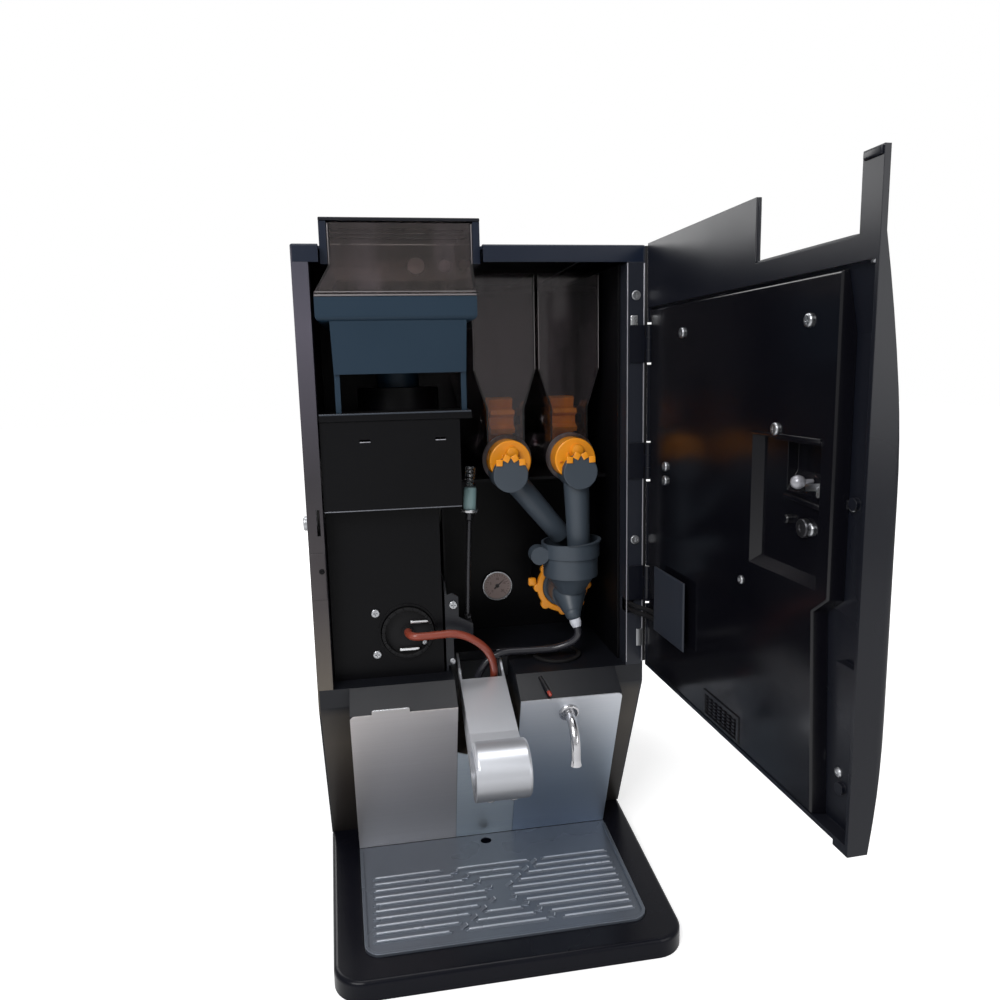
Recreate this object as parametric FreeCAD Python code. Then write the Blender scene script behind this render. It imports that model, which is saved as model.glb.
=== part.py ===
import FreeCAD, Part
import math
import os

# Instant coffee machine with its front door open: millimetres, +Z up, +Y towards the back.
# The origin is on the counter, under the middle of the cabinet's front plane.

V = FreeCAD.Vector

# Cabinet
WIDTH = 330.0
DEPTH = 400.0
CABINET_H = 617.0
SKIN = 1.5
STRIP_LEFT = 15.0
STRIP_RIGHT = 18.0
STRIP_LIP = 20.0
BEAM_H = 16.0
TOP_T = 3.0
SEAT = 0.3

# Base and drip tray
BASE_T = 18.0
BASE_REACH = 150.0
BASE_TAPER = 10.0
BASE_STRAIGHT_Y = 80.0
BASE_CORNER_R = 25.0
BASE_EDGE_R = 4.0
BASIN_DEPTH = 12.0
PAD_R = 12.0
PAD_T = 1.5
PAD_INSET = 30.0
TRAY_TAPER = 5.8
TRAY_FRONT_Y = -122.0
TRAY_CORNER_R = 14.0
TRAY_T = 1.2
TRAY_GAP = 0.8
TRAY_RIM_H = 2.0
TRAY_RIM_W = 3.0
RIB_COUNT = 10
RIB_PITCH = 10.0
RIB_R = 2.2
RIB_FIRST_Y = -14.0
RIB_INSET = 9.0
CROSS_Y = -59.0
CROSS_HALF_X = 44.0
CROSS_HALF_Y = 44.0
CROSS_CLEAR = 8.0
TAB_COUNT = 4
TAB_L = 9.0
TAB_W = 4.0
TAB_H = 3.0
DRAIN_R = 6.0
DRAIN_Y = 30.0

# Lower front: ledge, splash panels and spout
LEDGE_RISE = 18.5
WALL = 2.5
SPLASH_FOOT_Y = 42.0
LEAN = 20.93
SPLASH_H = 179.5
SPLASH_T = 1.2
CHEEK_FOOT_Y = 80.0
CHEEK_W = 30.2
BOX_IN_LEFT = -31.0
BOX_IN_RIGHT = 31.0
CENTRE_DROP = 61.5
WELL_BACK_Y = 78.0
PANEL_GAP = 0.4
TAB_X = (-114.0, -78.0)
TAB_RISE = 6.0
FLOOR_T = 3.0
SPOUT_X = 81.0
SPOUT_DROP = 18.2
SPOUT_R = 4.8
SPOUT_BORE = 3.6
SPOUT_FLANGE_R = 10.5
SPOUT_FLANGE_T = 3.0
SPOUT_OUT = 27.0
SPOUT_BEND_R = 27.0
SPOUT_FALL = 41.3

# Outlet arm
ARM_PIVOT_Y = 53.0
ARM_PIVOT_RISE = 1.0
ARM_HALF = 23.5
ARM_WALL = 2.5
ARM_SLOPE = 21.2
ARM_TOP_DROP = 1.7
ARM_EAR_R = 7.0
ARM_CUT = 33.0
ARM_REACH = 108.0
ARM_PIN_R = 3.0
BRACKET_T = 2.2
BRACKET_OUT = 5.3
BRACKET_FRONT = 24.0
BRACKET_H = 92.0
BRACKET_TABLE_H = 34.0
NOSE_Y = -68.0
NOSE_DROP = 65.5
NOSE_R = 27.0
NOSE_SIDE = (1.0, 5.0)
NOSE_DISC_R = 19.0
NOSE_DISC_DEPTH = 2.0
OUTLET_R = 4.5
OUTLET_SPACING = 22.0
OUTLET_DROP = 3.0
HINGE_RUN = 0.05

# Bays behind the door
BAY_DEPTH = 150.0
PARTITION_X = -31.0
COVER_Y = 4.0
COVER_T = 3.0
LOWER_COVER_Y = 22.0
COVER_SEAM_Z = 390.0
SHELF_Z = 475.0
SHELF_T = 8.0
SHELF_DEPTH = 50.0
COVER_RIGHT = (13.5, -8.0)
SHELF_OVER = 11.5
SLOT_W = 10.0
SLOT_H = 2.4
SLOT_X = (-107.6, -36.3)
SLOT_Z = 457.0

# Hopper
HOPPER_SIDE = 17.0
HOPPER_GAP = 4.0
HOPPER_Y = (16.0, 148.0)
HOPPER_WALL = 2.5
HOOD_LIP = (14.0, 1.5)
HOOD_LIP_Y = (3.0, 152.0)
HOOD_DROP = 1.0
HOOD_FLARE_Z = (592.0, 618.0)
HOOD_BOTTOM_Z = 589.0
BIN_LIP_Z = 567.0
BIN_STEP = (-1.5, 8.5)
BIN_BODY_Y = (6.0, 140.0)
BIN_DRAFT = 1.5
BIN_BODY_Z = 519.0
THROAT_R = 22.0
THROAT_Z = 505.0
THROAT_Y = 95.0
LEG_W = 5.0
COLLAR_T = 7.0
COLLAR_H = 22.0
COLLAR_Z = 619.0
LID_T = 3.0
LID_LAP = 5.0
LID_SIDE_LAP = 1.0

# Powder canisters
CANISTER_W = 65.0
CANISTER_SIDE = 7.0
CANISTER_GAP = 3.0
CANISTER_Y = (62.0, 322.0)
CANISTER_TOP_Z = 616.0
CANISTER_WALL = 2.0
AUGER_Z = 428.0
TROUGH_R = 18.0
TROUGH_TOP_Z = 500.0
SHELF2_T = 3.0
AUGER_R = 15.0
AUGER_WIRE = 3.2
AUGER_PITCH = 18.0
AUGER_TURNS = 9.5
AUGER_SHAFT_R = 4.0
WHEEL_TEETH = 8
WHEEL_W = 26.0
WHEEL_BITE = 3.0
WHEEL_TOOTH = 5.0
WHEEL_HUB_R = 7.0
WHEEL_PIN_R = 3.0
WHEEL_Y = 104.0
OUTLET_TUBE_R = 16.0
CAP_R = 21.5
CAP_T = 2.5
CAP_REACH = 24.0

# Chutes and mixer
CHUTE_HEAD_R = 17.8
CHUTE_HEAD_OUT = (-2.6, 1.4)
CHUTE_HEAD_DROP = 12.0
CHUTE_FRONT_Y = 22.0
CHUTE_Y = 41.0
CHUTE_WALL = 2.0
CHUTE_LEFT_R = (12.2, 11.4)
CHUTE_RIGHT_R = (13.7, 11.7)
BOWL_SIDE = 3.0
BOWL_Y = 50.0
BOWL_R = 29.0
BOWL_WALL = 2.5
BOWL_H = 19.0
LID_H = 19.0
LID_BOSS_H = 4.0
LID_BOSS_R = 9.5
FUNNEL_H = 23.0
FUNNEL_R = 14.0
CHAMBER_H = 64.0
CHAMBER_R = 18.5
CHAMBER_Y = (56.0, 92.0)
RING_R = 33.0
RING_T = 7.0
RING_BORE = 24.0
RING_LUGS = 8
FLANGE_R = 22.0
WHIP_R = 15.0
WHIP_BLADES = 6
WHIP_SHAFT_R = 3.0
NOZZLE_R = 6.0
NOZZLE_L = 15.0
NOZZLE_TILT = 18.0
NOZZLE_AT = (-1.5, -14.0, -16.0)
ELBOW_R = 8.5
HOSE_R = 4.0

# Gauge and relief pipe
GAUGE_SIDE = 64.0
GAUGE_H = 52.0
GAUGE_R = 18.3
GAUGE_D = 14.0
PIPE_OUT = (19.1, 24.8)
PIPE_Y = 40.0
PIPE_FOOT_H = 49.0
PIPE_TOP_H = 162.0
PIPE_R = 2.5
PIPE_CAP_R = 6.5
PIPE_CAP_L = 26.0
PIPE_FLANGE_R = 9.0

# Brew group and its fitting
FITTING_X = -74.5
FITTING_H = 46.0
FITTING_R = 26.0
FITTING_FRONT = 14.0
HOSE_Y = 7.0
BREW_SIDE = (15.0, 9.0)
BREW_Y = (30.0, 148.0)
BREW_TOP_Z = 392.0
BREW_BORE = 24.0
PISTON_R = 23.95
PISTON_ROD_R = 6.0
PISTON_H = 84.0
PISTON_L = 22.0
PISTON_STROKE = 30.0
BURR_R = 22.0
GRINDER_R = 42.0

# Back of the machine
BOILER_R = 48.0
BOILER_AT = (70.0, 262.0)
BOILER_H = 190.0
PUMP_AT = (-40.0, 250.0)
VENT_ROWS = 8
VENT_PITCH = 12.0
VENT_LOW_Z = 310.0
VENT_IN_X = 40.0
VENT_W = 70.0
BOARD_T = 2.0
BOARD_STAND = 12.0
BOARD_SIDE = 15.0
BOARD_W = 130.0
BOARD_Z = (140.0, 300.0)

# Door, drawn closed and then swung open
DOOR_GAP = 2.0
DOOR_T = 24.0
DOOR_FOOT_T = 14.0
DOOR_TOP_T = 4.0
DOOR_WALL = 3.0
DOOR_RISE = 2.0
DOOR_BELLY_Z = 405.0
DOOR_TOE = (15.0, 3.5)
DOOR_EDGE_R = 7.0
DOOR_OPEN = 92.0
NOTCH_LEFT = 18.0
NOTCH_RIGHT = -32.0
NOTCH_Z = 590.0
NOTCH_R = 6.0
LINER_SIDE = (32.0, 9.0)
LINER_FOOT = 40.0
LINER_STEP = 48.0
LINER_STEP_Z = 371.0
LINER_RISE = 3.5
LINER_TOP_Z = 573.0
LINER_T = 2.5
LINER_DRAFT = 3.0
RIM_Y = 10.0
RIM_T = 2.0
RIM_LAP = 9.0
RECESS_SIDE = 13.0
RECESS_W = 84.0
RECESS_Z = (374.0, 470.0)
RECESS_D = 6.0
POCKET_W = 44.0
POCKET_Z = (433.0, 468.0)
POCKET_D = 14.0
VENT_X = (-26.0, 30.0)
VENT_H = 22.0
VENT_SLOTS = 7
PLATE_SIDE = (106.0, 40.0)
PLATE_Z = (268.0, 331.0)
PLATE_T = 1.6
PLATE_STAND = 5.4
HINGE_OUT = 3.0
HINGE_Y = -5.0
HINGE_Z = (303.0, 428.0, 542.0)
HINGE_PIN_R = 2.0
KNUCKLE_R = 3.4
KNUCKLE_H = 12.0
STUD_SIDE = 22.0
STUD_Z = (248.0, 434.0)
LEDGE_PIN_Z = 330.0
CABLE_Z = (275.5, 281.5)
CABLE_R = 2.4

# Screws and lock
SCREW_R = 4.5
SCREW_H = 2.4
STRIP_SCREW_H = 1.5
LOCK_Y = 12.0
LOCK_Z = 380.0
LOCK_R = 7.0
CAM_R = 4.0
KEY_SLOT = 1.6

# Worked out from the sizes above
HALF = WIDTH / 2
TOP = BASE_T + CABINET_H
BEAM_Z = TOP - BEAM_H
IN_LEFT = -HALF + STRIP_LEFT
IN_RIGHT = HALF - STRIP_RIGHT
BOX_OUT_X = HALF - CHEEK_W
TRAY_HALF_BACK = BOX_OUT_X
TRAY_HALF_FRONT = BOX_OUT_X - TRAY_TAPER
SPLASH_TOP = BASE_T + SPLASH_H
LEDGE = SPLASH_TOP + LEDGE_RISE
CENTRE_H = SPLASH_H - CENTRE_DROP
CENTRE_TOP = BASE_T + CENTRE_H
SPOUT_H = SPLASH_H - SPOUT_DROP
ARM_PIVOT_Z = LEDGE + ARM_PIVOT_RISE
NOSE_X = (-ARM_HALF + NOSE_SIDE[0], ARM_HALF + NOSE_SIDE[1])
NOSE_Z = ARM_PIVOT_Z - NOSE_DROP
BRACKET_X = BOX_IN_LEFT - BRACKET_OUT
BRACKET_TOP = LEDGE + BRACKET_H
LID_Z = TOP + COLLAR_H
CANISTER_RIGHT = IN_RIGHT - WALL - CANISTER_SIDE - CANISTER_W / 2
CANISTER_X = (CANISTER_RIGHT - CANISTER_W - CANISTER_GAP, CANISTER_RIGHT)
COVER_LEFT_X = IN_LEFT + 1
UPPER_RIGHT_X = PARTITION_X + COVER_RIGHT[0]
LOWER_RIGHT_X = PARTITION_X + COVER_RIGHT[1]
HOPPER_X = (IN_LEFT + HOPPER_SIDE, CANISTER_X[0] - CANISTER_W / 2 - HOPPER_GAP)
HOOD_LIP_X = (HOPPER_X[0] - HOOD_LIP[0], HOPPER_X[1] + HOOD_LIP[1])
HOOD_TOP_Z = LID_Z - HOOD_DROP
BIN_BODY_X = (HOPPER_X[0] + BIN_STEP[0], HOPPER_X[1] - BIN_STEP[1])
THROAT_X = (BIN_BODY_X[0] + BIN_BODY_X[1]) / 2
CHUTE_HEAD_Z = AUGER_Z - CHUTE_HEAD_DROP
CHUTE_HEAD_X = (CANISTER_X[0] + CHUTE_HEAD_OUT[0], CANISTER_X[1] + CHUTE_HEAD_OUT[1])
BOWL_X = CANISTER_X[1] - BOWL_SIDE
CHAMBER_Z = LEDGE + CHAMBER_H
BOWL_LOW_Z = CHAMBER_Z + FUNNEL_H
BOWL_SEAM_Z = BOWL_LOW_Z + BOWL_H + 2
BOWL_TOP_Z = BOWL_SEAM_Z + LID_H
LID_BOSS_Z = BOWL_SEAM_Z + LID_BOSS_H
GAUGE_X = BOWL_X - GAUGE_SIDE
GAUGE_Z = LEDGE + GAUGE_H
PIPE_FOOT = V(PARTITION_X + PIPE_OUT[0], PIPE_Y, LEDGE + PIPE_FOOT_H)
PIPE_TOP = V(PARTITION_X + PIPE_OUT[1], PIPE_Y, LEDGE + PIPE_TOP_H)
FITTING_Z = LEDGE + FITTING_H
BREW_X = (IN_LEFT + BREW_SIDE[0], PARTITION_X - BREW_SIDE[1])
BREW_Z = (LEDGE, BREW_TOP_Z)
BREW_AT = ((BREW_X[0] + BREW_X[1]) / 2, (BREW_Y[0] + BREW_Y[1]) / 2 + 6)
PISTON_Z = (LEDGE + PISTON_H, LEDGE + PISTON_H + PISTON_L)
SHAFT_PITCH_R = AUGER_PITCH * WHEEL_TEETH / (2 * math.pi)
WHEEL_Z = AUGER_Z + AUGER_R + SHAFT_PITCH_R
WHEEL_R = SHAFT_PITCH_R + WHEEL_BITE
CANISTER_FLOOR = AUGER_Z - TROUGH_R - CANISTER_WALL
HINGE_X = HALF + HINGE_OUT
DOOR_Y = (-DOOR_GAP - DOOR_T, -DOOR_GAP)
DOOR_X = (-HALF, HINGE_X - DOOR_GAP)
DOOR_BOTTOM = LEDGE + DOOR_RISE
NOTCH_X = (DOOR_X[0] + NOTCH_LEFT, NOTCH_RIGHT)
LINER_X = (DOOR_X[0] + LINER_SIDE[0], HINGE_X - LINER_SIDE[1])
LINER_STEP_X = DOOR_X[0] + LINER_STEP
LINER_FOOT_X = DOOR_X[0] + LINER_FOOT
LINER_Z = (DOOR_BOTTOM + LINER_RISE, LINER_TOP_Z)
RECESS_X = (LINER_X[0] + RECESS_SIDE, LINER_X[0] + RECESS_SIDE + RECESS_W)
POCKET_X = (RECESS_X[0] + WALL, RECESS_X[0] + WALL + POCKET_W)
VENT_Z = (LINER_Z[0] + WALL, LINER_Z[0] + WALL + VENT_H)
PLATE_X = (HINGE_X - PLATE_SIDE[0], HINGE_X - PLATE_SIDE[1])
STUD_X = DOOR_X[0] + STUD_SIDE


# Small makers used all over

def block(x, y, z):
    """A block between the low and high values of each axis."""
    return Part.makeBox(x[1] - x[0], y[1] - y[0], z[1] - z[0], V(x[0], y[0], z[0]))


def rod(start, end, radius):
    """A round bar between two points."""
    a = V(*start)
    b = V(*end)
    return Part.makeCylinder(radius, (b - a).Length, a, b - a)


def sleeve(start, end, outer, inner):
    """A round bar with a bore all the way through."""
    return rod(start, end, outer).cut(rod(start, end, inner))


def join(*shapes):
    """One solid of pieces that touch."""
    return shapes[0].multiFuse(list(shapes[1:])).removeSplitter()


def group(shapes):
    """Separate solids kept in one sub-part."""
    return Part.makeCompound(shapes)


def placer(axis, level):
    """Turns a flat point into a point on the plane across one axis."""
    return {
        "x": lambda p: V(level, p[0], p[1]),
        "y": lambda p: V(p[0], level, p[1]),
        "z": lambda p: V(p[0], p[1], level),
    }[axis]


def outline(axis, level, points):
    """Closed wire: a point draws a line to it, a pair of points an arc through the first."""
    place = placer(axis, level)
    edges = []
    here = points[0]
    for step in points[1:]:
        if isinstance(step[0], tuple):
            edges.append(Part.Arc(place(here), place(step[0]), place(step[1])).toShape())
            here = step[1]
        else:
            edges.append(Part.LineSegment(place(here), place(step)).toShape())
            here = step
    if here != points[0]:
        edges.append(Part.LineSegment(place(here), place(points[0])).toShape())
    return Part.Wire(edges)


def prism(axis, low, high, points):
    """Straight solid of an outline drawn across one axis."""
    way = {"x": V(1, 0, 0), "y": V(0, 1, 0), "z": V(0, 0, 1)}[axis]
    return Part.Face(outline(axis, low, points)).extrude(way * (high - low))


def inset(axis, low, high, points, wall):
    """Straight solid of the same outline, drawn in by a wall."""
    way = {"x": V(1, 0, 0), "y": V(0, 1, 0), "z": V(0, 0, 1)}[axis]
    face = Part.Face(outline(axis, low, points)).makeOffset2D(-wall)
    return face.extrude(way * (high - low))


def rounded(shape, radius, pick):
    """Rounds the edges that pick says yes to."""
    edges = [e for e in shape.Edges if pick(e)]
    return shape.makeFillet(radius, edges)


def runs_along(edge, axis):
    """Is this a straight edge along x, y or z?"""
    if edge.Curve.TypeId != "Part::GeomLine":
        return False
    way = edge.Curve.Direction
    return abs(abs({"x": way.x, "y": way.y, "z": way.z}[axis]) - 1) < 1e-6


def middle(edge):
    """The point half way along an edge."""
    return edge.valueAt((edge.FirstParameter + edge.LastParameter) / 2)


def route(points, share=0.45):
    """Straight runs joined by tangent arcs, with the radius that each pair of runs allows."""
    path = [V(*p) for p in points]
    edges = []
    radii = []
    here = path[0]
    for before, corner, after in zip(path, path[1:], path[2:]):
        back = (before - corner).normalize()
        on = (after - corner).normalize()
        half = (math.pi - back.getAngle(on)) / 2
        cut = share * min((before - corner).Length, (after - corner).Length)
        start = corner + back * cut
        end = corner + on * cut
        radius = cut / math.tan(half)
        radii.append(radius)
        inward = (back + on).normalize()
        via = corner + inward * (radius / math.cos(half) - radius)
        edges.append(Part.LineSegment(here, start).toShape())
        edges.append(Part.Arc(start, via, end).toShape())
        here = end
    edges.append(Part.LineSegment(here, path[-1]).toShape())
    return Part.Wire(edges), radii


def hose(name, points, radius):
    """A round tube along a route, with its length and radii printed."""
    wire, radii = route(points)
    start = V(*points[0])
    way = V(*points[1]) - start
    ring = Part.Wire(Part.makeCircle(radius, start, way))
    solid = wire.makePipeShell([ring], True, False)
    share = solid.Volume / (math.pi * radius ** 2 * wire.Length)
    print(name, "length", round(wire.Length, 1), "least radius", round(min(radii), 1),
          "volume share", round(share, 4))
    return solid


def screw_head(at, way, height=SCREW_H):
    """Pan head with a cross recess, its flat side on the point at."""
    at = V(*at)
    way = V(*way).normalize()
    head = Part.makeCylinder(SCREW_R, height, at, way)
    rim = [e for e in head.Edges if (middle(e) - at).dot(way) > height / 2
           and e.Curve.TypeId == "Part::GeomCircle"]
    head = head.makeFillet(height * 0.6, rim)
    side = way.cross(V(0, 0, 1))
    if side.Length < 0.5:
        side = way.cross(V(0, 1, 0))
    side.normalize()
    for turn in (0, 90):
        bar = Part.makeBox(SCREW_R, SCREW_H * 0.35, height, V(-SCREW_R / 2, -SCREW_H * 0.175, 0))
        place = FreeCAD.Placement(at + way * (height * 0.5), FreeCAD.Rotation(V(0, 0, 1), way))
        bar.Placement = place.multiply(
            FreeCAD.Placement(V(), FreeCAD.Rotation(V(0, 0, 1), turn)))
        head = head.cut(bar)
    return head


# Base

def base_plan(level, grow=0.0):
    """Plan of the base: straight beside the cabinet, then tapered to a rounded front."""
    front = -BASE_REACH - grow
    side = HALF + grow
    lean = BASE_TAPER / (BASE_STRAIGHT_Y + BASE_REACH)
    r = BASE_CORNER_R
    near = side - BASE_TAPER
    bend = r * (1 - math.sqrt(0.5))
    y_side = front + r
    x_side = near + lean * r
    points = [
        (-side, DEPTH), (side, DEPTH), (side, BASE_STRAIGHT_Y), (x_side, y_side),
        ((near - bend, front + bend), (near - r, front)), (-near + r, front),
        ((-near + bend, front + bend), (-x_side, y_side)), (-side, BASE_STRAIGHT_Y),
    ]
    return outline("z", level, points)


def tray_plan(level, grow):
    """Plan of the drip plate, grown or shrunk all round."""
    back = SPLASH_FOOT_Y - PANEL_GAP + grow
    front = TRAY_FRONT_Y - grow
    wide = TRAY_HALF_BACK + grow
    near = TRAY_HALF_FRONT + grow
    r = TRAY_CORNER_R + grow
    bend = r * (1 - math.sqrt(0.5))
    x_side = near + (wide - near) * r / (back - front)
    return outline("z", level, [
        (-wide, back), (wide, back), (x_side, front + r),
        ((near - bend, front + bend), (near - r, front)), (-near + r, front),
        ((-near + bend, front + bend), (-x_side, front + r)),
    ])


def tray_slab(low, high, grow):
    """The drip plate's plan as a slab."""
    return Part.Face(tray_plan(low, grow)).extrude(V(0, 0, high - low))


def pad_places():
    """Centres of the four feet."""
    x = HALF - PAD_INSET
    return [(-x, PAD_INSET), (x, PAD_INSET), (-x, DEPTH - PAD_INSET), (x, DEPTH - PAD_INSET)]


def base_housing():
    body = Part.Face(base_plan(0)).extrude(V(0, 0, BASE_T))
    body = rounded(body, BASE_EDGE_R, lambda e: middle(e).z > BASE_T - 0.1
                   and middle(e).y < BASE_STRAIGHT_Y + 0.1)
    body = body.cut(tray_slab(BASE_T - TRAY_T, BASE_T + 1, TRAY_GAP))
    body = body.cut(tray_slab(BASE_T - BASIN_DEPTH, BASE_T, -2 * TRAY_RIM_W))
    for x, y in pad_places():
        body = body.cut(rod((x, y, 0), (x, y, PAD_T), PAD_R + SEAT))
    return body


def foot_pads():
    return group([rod((x, y, 0), (x, y, PAD_T), PAD_R) for x, y in pad_places()])


def rib(x_low, x_high, y):
    """Half-round rib pressed up out of the drip plate, with rounded ends."""
    z = BASE_T
    bar = rod((x_low, y, z), (x_high, y, z), RIB_R)
    bar = bar.fuse(Part.makeSphere(RIB_R, V(x_low, y, z)))
    bar = bar.fuse(Part.makeSphere(RIB_R, V(x_high, y, z)))
    return bar.common(block((-HALF, HALF), (y - RIB_R, y + RIB_R), (z - TRAY_T / 2, z + 0.6 * RIB_R)))


def drip_plate():
    plate = tray_slab(BASE_T - TRAY_T, BASE_T, 0)
    rim = tray_slab(BASE_T - TRAY_T, BASE_T + TRAY_RIM_H, 0)
    rim = rim.cut(tray_slab(BASE_T - TRAY_T, BASE_T + TRAY_RIM_H, -TRAY_RIM_W))
    back_y = SPLASH_FOOT_Y - 3 * TRAY_RIM_W
    rim = rim.cut(block((-HALF, HALF), (back_y, DEPTH), (BASE_T, BASE_T + TRAY_RIM_H)))
    pieces = [rim]
    reach = TRAY_HALF_FRONT - RIB_INSET
    for row in range(RIB_COUNT):
        y = RIB_FIRST_Y - row * RIB_PITCH
        arm_x = abs(y - CROSS_Y) * CROSS_HALF_X / CROSS_HALF_Y
        inner = arm_x - CROSS_CLEAR
        outer = arm_x + CROSS_CLEAR
        pieces.append(rib(-reach, -outer, y))
        pieces.append(rib(outer, reach, y))
        if inner > 2 * CROSS_CLEAR:
            pieces.append(rib(-inner, inner, y))
    for side in (-1, 1):
        for end in (-1, 1):
            for step in range(TAB_COUNT):
                share = (step + 1) / (TAB_COUNT + 0.3)
                x = side * CROSS_HALF_X * share
                y = CROSS_Y + end * CROSS_HALF_Y * share
                pieces.append(cross_tab(x, y, side * end))
    plate = plate.multiFuse(pieces)
    drain = rod((0, DRAIN_Y, 0), (0, DRAIN_Y, TOP), DRAIN_R)
    return plate.cut(drain).removeSplitter()


def cross_tab(x, y, way):
    """Small wedge pressed up along one arm of the cross."""
    wedge = prism("y", -TAB_W / 2, TAB_W / 2, [(-TAB_L / 2, 0), (TAB_L / 2, 0), (TAB_L / 2, TAB_H)])
    wedge.rotate(V(), V(0, 0, 1), 20.0 * way)
    wedge.translate(V(x, y, BASE_T - TRAY_T / 2))
    return wedge


# Cabinet shells

def side_profile(grow=0.0):
    """Side of the cabinet, cut back to the foot of the lower front."""
    return [(0, LEDGE), (0, TOP - TOP_T), (DEPTH, TOP - TOP_T), (DEPTH, BASE_T),
            (CHEEK_FOOT_Y, BASE_T), (0, SPLASH_TOP)]


def side_panel(side, strip):
    """Folded steel side: outer wall, front strip and the strip's inner lip."""
    outer = side * HALF
    inner = side * (HALF - SKIN)
    wall = prism("x", min(outer, inner), max(outer, inner), side_profile())
    edge = side * (HALF - strip)
    lip = edge + side * SKIN
    front = block(sorted((inner, edge)), (0, SKIN), (LEDGE, BEAM_Z))
    fold = block(sorted((edge, lip)), (SKIN, STRIP_LIP), (LEDGE, BEAM_Z))
    wall = join(wall, front, fold)
    return wall


def side_panel_left():
    panel = side_panel(-1, STRIP_LEFT)
    slot_x = -HALF + STRIP_LEFT * 0.7
    slot = block((slot_x - 1.5, slot_x + 1.5), (-1, SKIN + 1), (LOCK_Z - 11, LOCK_Z + 14))
    hole = rod((-HALF - 1, LOCK_Y, LOCK_Z), (-HALF + SKIN + 1, LOCK_Y, LOCK_Z), LOCK_R - 1.5 + SEAT)
    return panel.cut(slot).cut(hole)


def side_panel_right():
    panel = side_panel(1, STRIP_RIGHT)
    return panel.cut(cable_hole())


def back_panel():
    sheet = block((-HALF + SKIN, HALF - SKIN), (DEPTH - SKIN, DEPTH), (BASE_T, TOP - TOP_T))
    cuts = []
    for row in range(VENT_ROWS):
        z = VENT_LOW_Z + row * VENT_PITCH
        for side in (-1, 1):
            x = sorted((side * VENT_IN_X, side * (VENT_IN_X + VENT_W)))
            cuts.append(block(x, (DEPTH - 5, DEPTH + 5), (z, z + VENT_PITCH / 3)))
    for at, radius in ((INLET_AT, INLET_R), (SOCKET_AT, 0)):
        if radius:
            cuts.append(rod((at[0], DEPTH - 5, at[1]), (at[0], DEPTH + 5, at[1]), radius + SEAT))
        else:
            cuts.append(block((at[0] - SOCKET_W / 2, at[0] + SOCKET_W / 2), (DEPTH - 5, DEPTH + 5),
                              (at[1] - SOCKET_H / 2, at[1] + SOCKET_H / 2)))
    return sheet.cut(group(cuts))


# Water inlet and power inlet on the back
INLET_AT = (60.0, 70.0)
INLET_R = 13.2
INLET_BORE = 8.0
INLET_OUT = 16.0
SOCKET_AT = (-70.0, 70.0)
SOCKET_W = 28.0
SOCKET_H = 21.0
SOCKET_RIM = 4.0


def rear_inlets():
    x, z = INLET_AT
    nut = DEPTH + 4
    thread = rod((x, DEPTH - 12, z), (x, DEPTH + INLET_OUT, z), INLET_R)
    collar = rod((x, DEPTH, z), (x, nut, z), INLET_R + 4)
    bore = rod((x, DEPTH, z), (x, DEPTH + INLET_OUT, z), INLET_BORE)
    valve = join(thread, collar).cut(bore)
    x, z = SOCKET_AT
    w = SOCKET_W / 2
    h = SOCKET_H / 2
    case = block((x - w + SEAT, x + w - SEAT), (DEPTH - 20, DEPTH), (z - h + SEAT, z + h - SEAT))
    face = block((x - w - SOCKET_RIM, x + w + SOCKET_RIM), (DEPTH, DEPTH + 2),
                 (z - h - SOCKET_RIM, z + h + SOCKET_RIM))
    socket = join(case, face)
    socket = socket.cut(block((x - w + 3, x + w - 3), (DEPTH - 16, DEPTH + 3), (z - h + 3, z + h - 3)))
    for step in (-1, 0, 1):
        pin_z = z + (2 if step == 0 else -2)
        socket = join(socket, block((x + step * 6 - 1, x + step * 6 + 1), (DEPTH - 17, DEPTH - 3),
                                    (pin_z - 2, pin_z + 2)))
    return group([valve, socket])


def lid_opening():
    """Filling opening over the canisters."""
    low = CANISTER_X[0] - CANISTER_W / 2
    high = CANISTER_X[1] + CANISTER_W / 2
    return (low + LID_LAP, high - LID_LAP), (CANISTER_Y[0] + 6, CANISTER_Y[1] + 8)


def top_cover():
    plate = block((-HALF, HALF), (0, DEPTH), (TOP - TOP_T, TOP))
    plate = rounded(plate, TOP_T * 0.8, lambda e: middle(e).z > TOP - 0.1)
    left = block((-HALF + SKIN, HOPPER_X[0] - COLLAR_T - 1), (0, WALL), (BEAM_Z, TOP - TOP_T))
    right = block((HOPPER_X[1] + COLLAR_T + 1, HALF - SKIN), (0, WALL), (BEAM_Z, TOP - TOP_T))
    outer_x = (HOPPER_X[0] - COLLAR_T, HOPPER_X[1] + COLLAR_T)
    inner_x = (HOPPER_X[0] - SEAT, HOPPER_X[1] + SEAT)
    outer_y = (HOPPER_Y[0] - 2, HOPPER_Y[1] + COLLAR_T)
    inner_y = (-1, HOPPER_Y[1] + SEAT)
    collar = block(outer_x, outer_y, (COLLAR_Z, LID_Z))
    gap = block((HOPPER_X[0] - SEAT, HOPPER_X[1] + SEAT), (-1, HOPPER_Y[0]), (COLLAR_Z - 1, TOP + 1))
    front_gap = block((outer_x[0] - 1, outer_x[1] + 1), (-1, outer_y[0]), (BEAM_Z, TOP + 1))
    cover = join(plate, left, right, collar).cut(front_gap).cut(gap)
    cover = cover.cut(block(inner_x, inner_y, (COLLAR_Z - 1, LID_Z + 1)))
    x, y = lid_opening()
    cover = cover.cut(block(x, y, (TOP - TOP_T - 1, TOP + 1)))
    for x_ear in (x[0] + 20, x[1] - 20):
        cover = join(cover, hinge_ear(x_ear, y[1] + 6, TOP))
    for x_ear in (HOPPER_X[0] + 15, HOPPER_X[1] - 15):
        cover = join(cover, hinge_ear(x_ear, HOPPER_Y[1] + 4.5, LID_Z))
    return cover


EAR_R = 2.0
EAR_W = 4.0
EAR_PIN_R = 1.0


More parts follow.
